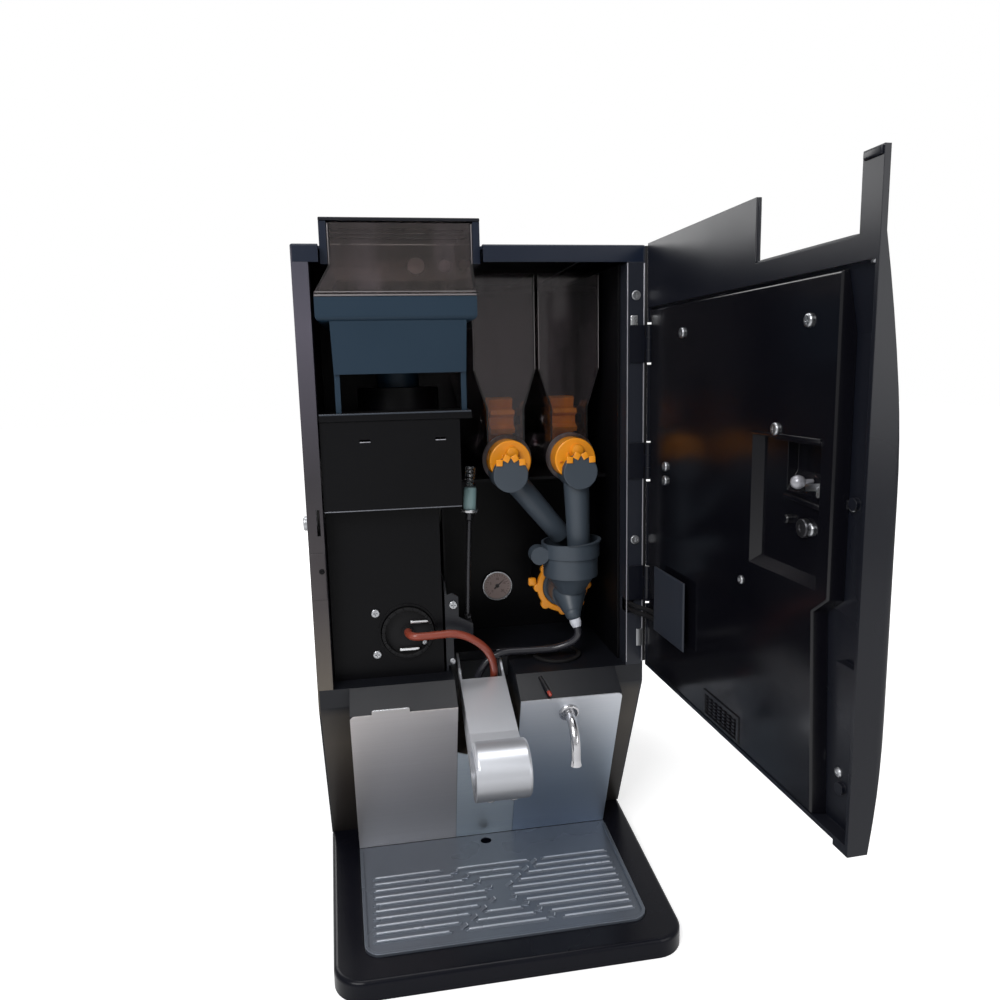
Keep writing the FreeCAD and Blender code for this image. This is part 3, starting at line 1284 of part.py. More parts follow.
def mixer_lid():
    """Upper ring of the bowl, higher at the back right, with a lip."""
    base = (BOWL_X, BOWL_Y, BOWL_SEAM_Z + PANEL_GAP)
    ring = sleeve(base, (BOWL_X, BOWL_Y, BOWL_TOP_Z), BOWL_R + 2, BOWL_R - BOWL_WALL + 2)
    lip = sleeve((BOWL_X, BOWL_Y, BOWL_TOP_Z - 3), (BOWL_X, BOWL_Y, BOWL_TOP_Z), BOWL_R + 3.5,
                 BOWL_R - BOWL_WALL + 2)
    boss_x = BOWL_X - BOWL_R - 7
    boss = rod((boss_x, BOWL_Y - 14, LID_BOSS_Z), (boss_x, BOWL_Y + 2, LID_BOSS_Z), LID_BOSS_R)
    boss = boss.cut(rod((BOWL_X, BOWL_Y, BOWL_LOW_Z), (BOWL_X, BOWL_Y, TOP), BOWL_R + SEAT))
    ring = join(ring, lip, boss)
    slope = prism("y", BOWL_Y - 60, BOWL_Y + 60, [
        (BOWL_X - 50, BOWL_TOP_Z - 5), (BOWL_X + 50, BOWL_TOP_Z), (BOWL_X + 50, BOWL_TOP_Z + 9),
        (BOWL_X - 50, BOWL_TOP_Z + 9)])
    return ring.cut(slope)


def bowl_form(wall, over):
    """Outer or inner form of the bowl, its funnel, the lying whipper chamber and the elbow."""
    at, way = nozzle_line()
    front = V(BOWL_X, CHAMBER_Y[0] + wall, CHAMBER_Z)
    elbow = at - front
    return join(
        rod((BOWL_X, BOWL_Y, BOWL_LOW_Z + over), (BOWL_X, BOWL_Y, BOWL_SEAM_Z + over), BOWL_R - wall),
        Part.makeCone(FUNNEL_R - wall, BOWL_R - 3 - wall, FUNNEL_H - 4 + over, V(BOWL_X, BOWL_Y, CHAMBER_Z + 4)),
        rod(tuple(front), (BOWL_X, CHAMBER_Y[1] + over, CHAMBER_Z), CHAMBER_R - wall),
        Part.makeCone(CHAMBER_R - wall, ELBOW_R - wall, elbow.Length, front, elbow),
        Part.makeSphere(ELBOW_R - wall, at))


def mixer_bowl():
    """Bowl, funnel, lying whipper chamber and elbow in one moulding, open above and behind."""
    bowl = bowl_form(0, 0).cut(bowl_form(BOWL_WALL, 1))
    at, way = nozzle_line()
    return bowl.cut(rod(tuple(at - way * 3), tuple(at + way * (ELBOW_R + 3)), NOZZLE_R - 2))


def nozzle_line():
    """Start and direction of the outlet nozzle under the chamber's front."""
    a = math.radians(NOZZLE_TILT)
    way = V(math.sin(a) * 0.8, -math.sin(a) * 0.8, -math.cos(a)).normalize()
    return V(BOWL_X, BOWL_Y, CHAMBER_Z) + V(*NOZZLE_AT), way


def mixer_nozzle():
    """White outlet nozzle with a collar."""
    at, way = nozzle_line()
    body = Part.makeCylinder(NOZZLE_R, NOZZLE_L * 0.7, at, way)
    tip = Part.makeCone(NOZZLE_R, NOZZLE_R - 1.5, NOZZLE_L * 0.3, at + way * (NOZZLE_L * 0.7), way)
    bore = Part.makeCylinder(NOZZLE_R - 3, NOZZLE_L * 2, at - way, way)
    return join(body, tip).cut(bore).cut(bowl_form(0, 0))


def mixer_lock_ring():
    """Orange bayonet ring behind the chamber, with lugs round its edge."""
    y = (CHAMBER_Y[1] - RING_T - 1, CHAMBER_Y[1] - 1)
    ring = sleeve((BOWL_X, y[0], CHAMBER_Z), (BOWL_X, y[1], CHAMBER_Z), RING_R - 4, CHAMBER_R + HINGE_RUN)
    pieces = []
    for lug in range(RING_LUGS):
        a = 2 * math.pi * lug / RING_LUGS
        c = (BOWL_X + (RING_R - 5) * math.cos(a), y[0], CHAMBER_Z + (RING_R - 5) * math.sin(a))
        pieces.append(rod(c, (c[0], y[1], c[2]), 5))
    lever = block((BOWL_X - RING_R - 6, BOWL_X - RING_R + 8), y, (CHAMBER_Z + 2, CHAMBER_Z + 12))
    body = ring.multiFuse(pieces + [lever])
    return body.cut(rod((BOWL_X, y[0], CHAMBER_Z), (BOWL_X, y[1], CHAMBER_Z), CHAMBER_R + HINGE_RUN))


def mixer_motor():
    """Flange that carries the mixer, and its motor behind the wall."""
    flange = rod((BOWL_X, CHAMBER_Y[1] + SEAT, CHAMBER_Z), (BOWL_X, BAY_DEPTH + WALL, CHAMBER_Z), FLANGE_R)
    rim = rod((BOWL_X, CHAMBER_Y[1] + SEAT, CHAMBER_Z), (BOWL_X, CHAMBER_Y[1] + 4, CHAMBER_Z), RING_R - 5)
    plate = rod((BOWL_X, BAY_DEPTH + WALL, CHAMBER_Z), (BOWL_X, BAY_DEPTH + WALL + 3, CHAMBER_Z), FLANGE_R + 8)
    can = rod((BOWL_X, BAY_DEPTH + WALL, CHAMBER_Z), (BOWL_X, BAY_DEPTH + 58, CHAMBER_Z), 24)
    body = join(flange, rim, plate, can)
    socket = rod((BOWL_X, CHAMBER_Y[1], CHAMBER_Z), (BOWL_X, CHAMBER_Y[1] + 30, CHAMBER_Z),
                 WHIP_SHAFT_R + HINGE_RUN)
    return body.cut(socket)


def whipper_wheel():
    """Whipper disc with curved blades on the motor's shaft."""
    y = CHAMBER_Y[1] - 24
    shaft = rod((BOWL_X, y, CHAMBER_Z), (BOWL_X, CHAMBER_Y[1] + 28, CHAMBER_Z), WHIP_SHAFT_R)
    disc = rod((BOWL_X, y + 8, CHAMBER_Z), (BOWL_X, y + 10, CHAMBER_Z), WHIP_R)
    pieces = [disc]
    for blade in range(WHIP_BLADES):
        bar = block((BOWL_X - 0.8, BOWL_X + 0.8), (y, y + 8.5), (CHAMBER_Z + 4, CHAMBER_Z + WHIP_R - 1))
        bar.rotate(V(BOWL_X, y, CHAMBER_Z), V(0, 1, 0), 360.0 / WHIP_BLADES * blade)
        pieces.append(bar)
    nut = Part.makeCone(WHIP_SHAFT_R, WHIP_SHAFT_R + 2.5, 8, V(BOWL_X, y, CHAMBER_Z), V(0, 1, 0))
    return shaft.multiFuse(pieces + [nut])


# Hoses

def mixer_hose():
    """Dark clear hose from the nozzle round to the back of the arm."""
    at, way = nozzle_line()
    start = at + way * (NOZZLE_L + SEAT)
    low = LEDGE + 9
    points = [tuple(start), tuple(start + way * 12), (BOWL_X - 18, 38, low), (BOWL_X - 50, 40, low),
              (21, 40, low + 1), (3, 40, low - 11), (-3, 40, low - 25)]
    return hose("mixer_hose", points, HOSE_R)


def brew_hose():
    """Brown-red silicone hose from the brew fitting over to the arm."""
    start = V(FITTING_X, FITTING_FRONT + 7 - SEAT, FITTING_Z)
    z = FITTING_Z
    points = [tuple(start), (FITTING_X, HOSE_Y - 4, z), (FITTING_X + 24, HOSE_Y, z - 1),
              (-24, HOSE_Y, z), (1, HOSE_Y + 2, z - 16), (13, 20, z - 40), (13.5, 31, z - 59)]
    return hose("brew_hose", points, HOSE_R)


def cable_hole():
    """Hole in the right strip for the door cables."""
    return block((HALF - STRIP_RIGHT - 1, HALF - STRIP_RIGHT + 8), (-1, STRIP_LIP - 4),
                 (CABLE_Z[0] - 4, CABLE_Z[1] + 4))


def door_cables():
    """Two flat loops of cable from the right strip to the door's cable plate."""
    loops = []
    near = IN_RIGHT + 4
    far = HINGE_X - 4.1
    for z in CABLE_Z:
        points = [(near, 10, z), (near, -8, z), (far - 3.1, -24, z), (far, -38, z), (far, -50.9, z)]
        loops.append(hose("door_cable", points, CABLE_R))
    return group(loops)


# Brew side

def brew_fitting():
    """Black round boss with a stub for the brew hose and two steel bars."""
    front = FITTING_FRONT
    boss = rod((FITTING_X, front + 4, FITTING_Z), (FITTING_X, BREW_Y[0], FITTING_Z), FITTING_R)
    boss = boss.cut(rod((FITTING_X, front, FITTING_Z), (FITTING_X, front + 11, FITTING_Z), FITTING_R - 3))
    bars = [block((FITTING_X + x, FITTING_X + x + 20), (front + 8, front + 12),
                  (FITTING_Z + z, FITTING_Z + z + 3)) for x, z in ((3, 8), (-9, -20))]
    stub = rod((FITTING_X, front + 7, FITTING_Z), (FITTING_X, front + 12, FITTING_Z), HOSE_R + 1.5)
    return join(boss, stub, *bars)


def brew_group():
    """Frame with the brew cylinder, its guide and the top plate under the grinder."""
    x, y, z = BREW_X, BREW_Y, BREW_Z
    cx, cy = BREW_AT
    foot = block(x, y, (z[0], z[0] + 10))
    top = block(x, y, (z[1] - 8, z[1]))
    cheeks = [block((side, side + 6), y, z) for side in (x[0], x[1] - 6)]
    cylinder = rod((cx, cy, z[0] + 30), (cx, cy, PISTON_Z[0] + PISTON_STROKE + 26), BREW_BORE + 6)
    web = block((x[0], x[1]), (cy - 4, cy + 4), (z[0] + 40, z[0] + 60))
    frame = join(foot, top, cheeks[0], cheeks[1], cylinder, web)
    bore = rod((cx, cy, z[0] + 36), (cx, cy, TOP), BREW_BORE)
    guide = rod((cx, cy, z[0]), (cx, cy, z[0] + 40), PISTON_ROD_R + HINGE_RUN)
    boss = rod((FITTING_X, y[0] - 1, FITTING_Z), (FITTING_X, y[0] + 6, FITTING_Z), 8)
    frame = frame.cut(guide).cut(bore.cut(block((-HALF, HALF), (0, DEPTH), (z[1] - 8, TOP))))
    throat = rod((cx, cy, z[1] - 9), (cx, cy, z[1] + 1), 14)
    return frame.cut(throat).cut(boss)


def brew_piston():
    """Lower piston and its rod, raised for brewing."""
    cx, cy = BREW_AT
    head = rod((cx, cy, PISTON_Z[0]), (cx, cy, PISTON_Z[1]), PISTON_R)
    groove = sleeve((cx, cy, PISTON_Z[1] - 8), (cx, cy, PISTON_Z[1] - 5), PISTON_R + 1, PISTON_R - 1.5)
    stem = rod((cx, cy, BREW_Z[0] + PISTON_STROKE + 2), (cx, cy, PISTON_Z[0]), PISTON_ROD_R)
    return join(head.cut(groove), stem)


def grinder_at():
    """Centre of the grinder under the hopper's throat."""
    return THROAT_X, THROAT_Y


def grinder():
    """Grinder housing with its motor on the brew group's top plate."""
    x, y = grinder_at()
    z = BREW_Z[1]
    motor = rod((x, y, z), (x, y, z + 58), GRINDER_R - 4)
    head = rod((x, y, z + 58), (x, y, THROAT_Z - SEAT), GRINDER_R)
    chute = block((x - 14, x + 14), (y - GRINDER_R - 10, y), (z + 60, z + 80))
    body = join(motor, head, chute)
    chamber = rod((x, y, z + 66), (x, y, z + 92), BURR_R + 8)
    mouth = rod((x, y, z + 90), (x, y, TOP), THROAT_R - HOPPER_WALL)
    bearing = rod((x, y, z + 40), (x, y, z + 70), 4 + HINGE_RUN)
    outlet = block((x - 9, x + 9), (y - GRINDER_R - 7, y), (z + 66, z + 76))
    drop = block((x - 9, x + 9), (y - GRINDER_R - 7, y - GRINDER_R + 2), (z + 58, z + 68))
    return body.cut(chamber).cut(mouth).cut(bearing).cut(outlet).cut(drop)


def grinder_burr():
    """Turning lower burr on its shaft."""
    x, y = grinder_at()
    z = BREW_Z[1]
    disc = rod((x, y, z + 70), (x, y, z + 78), BURR_R + 6)
    cone = Part.makeCone(BURR_R, BURR_R * 0.45, 9, V(x, y, z + 78))
    shaft = rod((x, y, z + 42), (x, y, z + 72), 4)
    burr = join(disc, cone, shaft)
    cuts = []
    for tooth in range(12):
        bar = block((x - 1, x + 1), (y + 5, y + BURR_R + 8), (z + 82, z + 90))
        bar.rotate(V(x, y, z), V(0, 0, 1), 30.0 * tooth)
        cuts.append(bar)
    return burr.cut(group(cuts))


# Gauge, relief pipe and parts behind the bays

def gauge_body():
    """Round pressure gauge in the back wall."""
    y = BAY_DEPTH
    case = rod((GAUGE_X, y - 4, GAUGE_Z), (GAUGE_X, y, GAUGE_Z), GAUGE_R)
    case = rounded(case, 1.2, lambda e: middle(e).y < y - 3 and e.Curve.TypeId == "Part::GeomCircle")
    case = case.cut(rod((GAUGE_X, y - 5, GAUGE_Z), (GAUGE_X, y - 1.6, GAUGE_Z), GAUGE_R - 2))
    neck = rod((GAUGE_X, y, GAUGE_Z), (GAUGE_X, y + GAUGE_D, GAUGE_Z), GAUGE_R - 4 - SEAT)
    stub = rod((GAUGE_X, y + GAUGE_D, GAUGE_Z), (GAUGE_X, y + GAUGE_D + 12, GAUGE_Z), 4)
    body = join(case, neck, stub)
    return body.cut(rod((GAUGE_X, y - 3, GAUGE_Z), (GAUGE_X, y + 2, GAUGE_Z), 0.8 + HINGE_RUN))


def gauge_needle():
    """Needle on its spindle, pointing up to the right."""
    y = BAY_DEPTH - 2.6
    hub = rod((GAUGE_X, y - 0.9, GAUGE_Z), (GAUGE_X, y + 0.6, GAUGE_Z), 2)
    pin = rod((GAUGE_X, y, GAUGE_Z), (GAUGE_X, BAY_DEPTH + 1.5, GAUGE_Z), 0.8)
    blade = prism("y", y - 0.3, y + 0.3, [
        (GAUGE_X - 5, GAUGE_Z - 1), (GAUGE_X - 5, GAUGE_Z + 1), (GAUGE_X + GAUGE_R - 5, GAUGE_Z)])
    blade.rotate(V(GAUGE_X, y, GAUGE_Z), V(0, 1, 0), -42)
    return join(hub, pin, blade)


def relief_pipe():
    """Leaning pipe with a capped fitting, standing in a nut on the bracket's table."""
    way = (PIPE_TOP - PIPE_FOOT).normalize()
    length = (PIPE_TOP - PIPE_FOOT).Length
    nut = Part.makeCylinder(PIPE_R + 2, 6, PIPE_FOOT)
    pipe = Part.makeCylinder(PIPE_R, length + 2, PIPE_FOOT + way, way)
    collar = Part.makeCylinder(PIPE_R + 1.6, 8, PIPE_TOP - way * 8, way)
    flange = Part.makeCylinder(PIPE_FLANGE_R, 3, PIPE_TOP, way)
    cap = Part.makeCylinder(PIPE_CAP_R, PIPE_CAP_L - 3, PIPE_TOP + way * 3, way)
    top = PIPE_TOP + way * PIPE_CAP_L
    cap = rounded(cap, 1.5, lambda e: (middle(e) - top).Length < PIPE_CAP_R + 1
                  and e.Curve.TypeId == "Part::GeomCircle")
    return join(nut, pipe, collar, flange, cap)


def boiler():
    """Upright boiler on a ring foot, with a domed top and fittings."""
    x, y = BOILER_AT
    foot = sleeve((x, y, BASE_T), (x, y, BASE_T + 20), BOILER_R - 4, BOILER_R - 8)
    tank = rod((x, y, BASE_T + 18), (x, y, BASE_T + BOILER_H), BOILER_R)
    tank = rounded(tank, 10, lambda e: e.Curve.TypeId == "Part::GeomCircle")
    fittings = [rod((x + dx, y, BASE_T + BOILER_H - 4), (x + dx, y, BASE_T + BOILER_H + 14), 6)
                for dx in (-20, 0, 20)]
    return join(foot, tank, *fittings)


def pump():
    """Vibration pump lying on two pads on the base."""
    x, y = PUMP_AT
    z = BASE_T + 34
    body = rod((x, y - 35, z), (x, y + 35, z), 20)
    coil = block((x - 24, x + 24), (y - 22, y + 22), (z - 24, z + 24))
    coil = rounded(coil, 5, lambda e: runs_along(e, "y"))
    nipples = rod((x, y - 52, z), (x, y + 52, z), 6)
    feet = [block((x - 18, x + 18), (y + s * 15 - 4, y + s * 15 + 4), (BASE_T, z - 20)) for s in (-1, 1)]
    return join(body, coil, nipples, *feet)


def power_board():
    """Control board on four posts on the back panel."""
    y = DEPTH - SKIN
    x = (-HALF + BOARD_SIDE, -HALF + BOARD_SIDE + BOARD_W)
    z = BOARD_Z
    board = block(x, (y - BOARD_STAND - BOARD_T, y - BOARD_STAND), z)
    pieces = []
    for px in (x[0] + 8, x[1] - 8):
        for pz in (z[0] + 8, z[1] - 8):
            pieces.append(rod((px, y - BOARD_STAND, pz), (px, y, pz), 3))
    front = y - BOARD_STAND - BOARD_T
    pieces.append(block((x[0] + 20, x[0] + 60), (front - 24, front), (z[0] + 20, z[0] + 60)))
    pieces.append(block((x[0] + 75, x[0] + 110), (front - 14, front), (z[0] + 30, z[0] + 50)))
    for step in range(3):
        cx = x[0] + 30 + step * 28
        pieces.append(rod((cx, front - 18, z[0] + 110), (cx, front, z[0] + 110), 8))
    return board.multiFuse(pieces).removeSplitter()


# Door

def door_outline():
    """Front view of the door with the notch in front of the hopper."""
    (x0, x1), (z0, z1) = DOOR_X, (DOOR_BOTTOM, TOP)
    n0, n1 = NOTCH_X
    toe_x, toe_h = DOOR_TOE
    return [(x0, z0 - toe_h), (x0 + toe_x, z0 - toe_h), (x0 + toe_x, z0), (x1, z0), (x1, z1), (n1, z1),
            (n1, NOTCH_Z), (n0, NOTCH_Z), (n0, z1), (x0, z1)]


def door_plan():
    """Plan of the door with both of its front edges rounded."""
    x0, x1 = DOOR_X
    face, r = DOOR_Y[0], DOOR_EDGE_R
    bulge = r * (1 - math.sqrt(0.5))
    return [(x0, 1), (x0, face + r), ((x0 + bulge, face + bulge), (x0 + r, face)), (x1 - r, face),
            ((x1 - bulge, face + bulge), (x1, face + r)), (x1, 1)]


def door_side(wall, low, high):
    """Side view of the door: thin at the top, bellied outwards, thinner again at the foot."""
    face = DOOR_Y[1]
    foot = (face - DOOR_FOOT_T + wall, low)
    belly = (face - DOOR_T + wall, DOOR_BELLY_Z)
    brow = (face - DOOR_TOP_T + wall, NOTCH_Z)
    inner = face + (1 if wall else 0)
    if high > NOTCH_Z:
        return [(inner, low), foot, (belly, brow), (brow[0], high), (inner, high)]
    return [(inner, low), foot, (belly, brow), (inner, NOTCH_Z)]


def door_space(wall):
    """Room inside the outer moulding, as deep as its belly leaves."""
    x = (DOOR_X[0] + wall, DOOR_X[1] - wall)
    room = prism("x", x[0], x[1], door_side(wall, DOOR_BOTTOM + wall, NOTCH_Z))
    return room.common(block(x, (DOOR_Y[0], 2), (DOOR_BOTTOM + wall, LINER_Z[1] + WALL + DOOR_WALL - wall)))


def swing(shape):
    """Turns a piece of the closed door to where it stands open."""
    shape.rotate(V(HINGE_X, HINGE_Y, 0), V(0, 0, 1), DOOR_OPEN)
    return shape


def hinge_slot(z):
    """Room in the door's edge for one hinge."""
    half = 1.5 * KNUCKLE_H + 2
    return block((HINGE_X - 10, DOOR_X[1] + 1), (HINGE_Y - KNUCKLE_R - 1.2, 1), (z - half, z + half))


def door_core():
    """Bellied moulding, hollow behind the liner, with a rim for the liner to sit on."""
    body = prism("x", DOOR_X[0], DOOR_X[1], door_side(0, DOOR_BOTTOM - DOOR_TOE[1], TOP))
    body = body.common(prism("y", DOOR_Y[0] - 1, 0, door_outline()))
    body = body.common(prism("z", 0, TOP + 1, door_plan()))
    shell = body.cut(door_space(DOOR_WALL))
    x = (DOOR_X[0] + DOOR_WALL - 1, DOOR_X[1] - DOOR_WALL + 1)
    y = DOOR_Y[1] - RIM_Y
    rim = block(x, (y - RIM_T, y), (DOOR_BOTTOM + 1, NOTCH_Z))
    rim = rim.cut(inset("y", y - RIM_T - 1, y + 1, liner_outline(0), RIM_LAP))
    return join(shell, rim.common(body))


def door_shell():
    """Outer door moulding with its liner rim, hinge slots, a ledge and two studs."""
    shell = door_core()
    for z in HINGE_Z:
        shell = shell.cut(hinge_slot(z))
    y = DOOR_Y[1] - RIM_Y
    studs = [rod((STUD_X, y - RIM_T / 2, z), (STUD_X, y + 3, z), 4) for z in STUD_Z]
    ledge = block((DOOR_X[0] + DOOR_WALL - 1, STUD_X + 5), (y - RIM_T / 2, y + 5),
                  (LEDGE_PIN_Z, LEDGE_PIN_Z + 3))
    return swing(join(shell, ledge, *studs))


def liner_outline(out):
    """Front view of the liner, grown by a draft, stepped in below the recess."""
    (x0, x1), (z0, z1) = LINER_X, LINER_Z
    return [(LINER_FOOT_X - out, z0), (x1, z0), (x1, z1), (x0 - out, z1), (x0 - out, LINER_STEP_Z),
            (LINER_STEP_X - out, LINER_STEP_Z - 12)]


def liner_block(wall):
    """Outer or inner form of the liner, wider at its foot on the free side."""
    face_y = DOOR_Y[1]
    back = face_y - RIM_Y + SEAT
    near = outline("y", face_y - wall, liner_outline(-wall))
    far = outline("y", back - (1 if wall else 0), liner_outline(LINER_DRAFT - wall))
    block_form = Part.makeLoft([near, far], True, True)
    if wall:
        return block_form.common(block((-HALF, LINER_X[1] - wall), (DOOR_Y[0], 1),
                                       (LINER_Z[0] + wall, LINER_Z[1] - wall)))
    return block_form


def door_liner():
    """Inner door moulding with drafted sides, a stepped recess, a pocket and a vent."""
    face_y = DOOR_Y[1]
    body = liner_block(0)
    body = rounded(body, 1.5, lambda e: middle(e).y > face_y - 0.1 and middle(e).x < LINER_X[1] - 1)
    body = body.cut(liner_block(LINER_T))
    rx, rz = RECESS_X, RECESS_Z
    tub = block((rx[0] - WALL, rx[1] + WALL), (face_y - RECESS_D - WALL, face_y - 1), (rz[0] - WALL, rz[1] + WALL))
    px, pz = POCKET_X, POCKET_Z
    deep = block((px[0] - WALL, px[1] + WALL), (face_y - POCKET_D - WALL, face_y - 1), (pz[0] - WALL, pz[1] + WALL))
    body = join(body, tub, deep)
    body = body.cut(recess_space())
    body = body.cut(block(px, (face_y - POCKET_D, face_y + 1), pz))
    ramp = prism("x", px[0], px[1], [(face_y - POCKET_D, pz[0]), (face_y - RECESS_D, pz[0]),
                                     (face_y - POCKET_D, pz[0] + 14)])
    ledge = block((px[0] - 4, px[1] + 6), (face_y - RECESS_D, face_y + 1.5), (pz[1], pz[1] + WALL))
    body = join(body, ramp, ledge)
    body = body.cut(vent_slots())
    body = join(body, vent_frame())
    body = body.common(door_space(DOOR_WALL + SEAT))
    for z in HINGE_Z:
        body = body.cut(block((HINGE_X - 12, HALF + 5), (DOOR_Y[0], 1), (z - 21, z + 21)))
    return swing(body)


def recess_space():
    """Recess with sloped sides, wider at its mouth."""
    rx, rz = RECESS_X, RECESS_Z
    face_y = DOOR_Y[1]
    deep = face_y - RECESS_D
    near = Part.makePolygon([V(x, face_y + 0.01, z) for x, z in box_corners(rx, rz, 0)])
    far = Part.makePolygon([V(x, deep, z) for x, z in box_corners(rx, rz, 7)])
    return Part.makeLoft([near, far], True, True)


def box_corners(x, z, wall):
    """Closed list of a rectangle's corners, drawn in by a wall at its sides and foot."""
    return [(x[0] + wall, z[0] + wall), (x[1] - wall, z[0] + wall), (x[1] - wall, z[1]),
            (x[0] + wall, z[1]), (x[0] + wall, z[0] + wall)]


def vent_slots():
    """Upright slots of the vent."""
    pitch = (VENT_X[1] - VENT_X[0]) / VENT_SLOTS
    slots = []
    for n in range(VENT_SLOTS):
        x = VENT_X[0] + pitch * (n + 0.5)
        slots.append(block((x - pitch * 0.25, x + pitch * 0.25), (DOOR_Y[1] - LINER_T - 1, DOOR_Y[1] + 5),
                           (VENT_Z[0] + 3, VENT_Z[1] - 4)))
    return group(slots)


def vent_frame():
    """Raised border round the vent."""
    x, z = VENT_X, VENT_Z
    rim = block((x[0] - 2, x[1] + 2), (DOOR_Y[1] - 1, DOOR_Y[1] + 1.5), (z[0], z[1]))
    return rim.cut(block((x[0] + 1, x[1] - 1), (DOOR_Y[1] - 5, DOOR_Y[1] + 5), (z[0] + 2, z[1] - 3)))


def cable_cover():
    """Flat plate over the cable entry, standing on a foot."""
    y = DOOR_Y[1]
    plate = block(PLATE_X, (y + PLATE_STAND, y + PLATE_STAND + PLATE_T), PLATE_Z)
    plate = rounded(plate, 1.2, lambda e: middle(e).y > y + PLATE_STAND + PLATE_T - 0.1)
    foot = block((PLATE_X[1] - 32, PLATE_X[1] - 6), (y, y + PLATE_STAND), (PLATE_Z[0] + 6, PLATE_Z[1] - 6))
    return swing(join(plate, foot))


def door_screws():
    """Pan heads on the liner."""
    y = DOOR_Y[1]
    near = HINGE_X - 49
    top = LINER_Z[1] - 25
    places = [(HINGE_X - 82, top), (LINER_X[0] + 31, top - 2), (near, HINGE_Z[1]), (near, HINGE_Z[1] - 13),
              (RECESS_X[0] + 53, RECESS_Z[1] + 5)]
    heads = [swing(screw_head((x, y, z), (0, 1, 0))) for x, z in places]
    heads.append(swing(screw_head((RECESS_X[0] + 16, y - RECESS_D, RECESS_Z[0] + 37), (0, 1, 0))))
    return group(heads)


def hinge_brackets():
    """Three hinge halves on the right strip, each with its pin."""
    brackets = []
    for z in HINGE_Z:
        h = KNUCKLE_H / 2
        plate = block((IN_RIGHT + 2, HINGE_X), (-1.6, 0), (z - h - 12, z + h + 12))
        plate = plate.cut(block((HINGE_X - 3.5, HINGE_X + 1), (-2, 1), (z + h + 0.2, z + h + 13)))
        plate = plate.cut(block((HINGE_X - 3.5, HINGE_X + 1), (-2, 1), (z - h - 13, z - h - 0.2)))
        knuckle = rod((HINGE_X, HINGE_Y, z - h), (HINGE_X, HINGE_Y, z + h), KNUCKLE_R)
        web = block((HINGE_X - 1.5, HINGE_X), (HINGE_Y, 0), (z - h, z + h))
        pin = rod((HINGE_X, HINGE_Y, z - 3 * h), (HINGE_X, HINGE_Y, z + 3 * h), HINGE_PIN_R)
        brackets.append(join(plate, knuckle, web, pin))
    return group(brackets)


def hinge_leaves():
    """Door halves of the hinges: two knuckles on a leaf inside the door's edge."""
    leaves = []
    wall_x = DOOR_X[1] - DOOR_WALL
    for z in HINGE_Z:
        h = KNUCKLE_H / 2
        leaf = block((wall_x - 2, wall_x), (DOOR_Y[1] - RIM_Y, HINGE_Y - 1), (z - 3 * h, z + 3 * h))
        pieces = [leaf.common(door_space(DOOR_WALL))]
        for low, high in ((z - 3 * h, z - h - 0.3), (z + h + 0.3, z + 3 * h)):
            knuckle = rod((HINGE_X, HINGE_Y, low), (HINGE_X, HINGE_Y, high), KNUCKLE_R)
            tongue = block((wall_x - 2, HINGE_X), (HINGE_Y - KNUCKLE_R, HINGE_Y - KNUCKLE_R + 1.6), (low, high))
            pieces.append(knuckle)
            pieces.append(tongue)
        whole = join(*pieces)
        whole = whole.cut(rod((HINGE_X, HINGE_Y, z - 3 * h), (HINGE_X, HINGE_Y, z + 3 * h), HINGE_PIN_R + HINGE_RUN))
        leaves.append(swing(whole))
    return group(leaves)


# Lock and cabinet screws

def lock_barrel():
    """Key lock through the left side, with its cam behind the strip's slot."""
    x = -HALF
    head = rod((x - 4, LOCK_Y, LOCK_Z), (x, LOCK_Y, LOCK_Z), LOCK_R)
    head = rounded(head, 1.2, lambda e: middle(e).x < x - 3.9 and e.Curve.TypeId == "Part::GeomCircle")
    barrel = rod((x, LOCK_Y, LOCK_Z), (x + 9, LOCK_Y, LOCK_Z), LOCK_R - 1.5)
    cam = block((x + 6.5, x + 9), (LOCK_Y - CAM_R, LOCK_Y + CAM_R), (LOCK_Z - 3, LOCK_Z + 14))
    key = block((x - 5, x - 2), (LOCK_Y - KEY_SLOT / 2, LOCK_Y + KEY_SLOT / 2), (LOCK_Z - 4, LOCK_Z + 4))
    return join(head, barrel, cam).cut(key)


def panel_screws():
    """Pan heads on the lower cover, the partition and the right strip."""
    side = FITTING_X - FITTING_R - SCREW_R - 1
    heads = [screw_head((side, LOWER_COVER_Y, FITTING_Z + z), (0, -1, 0)) for z in (21.5, -21.5)]
    heads.append(screw_head((BRACKET_X + 8.5, BRACKET_FRONT, BRACKET_TOP - 22), (0, -1, 0)))
    for z in (TOP - 47, TOP - 287):
        heads.append(screw_head((HALF - STRIP_RIGHT / 2, 0, z), (0, -1, 0), STRIP_SCREW_H))
    return group(heads)


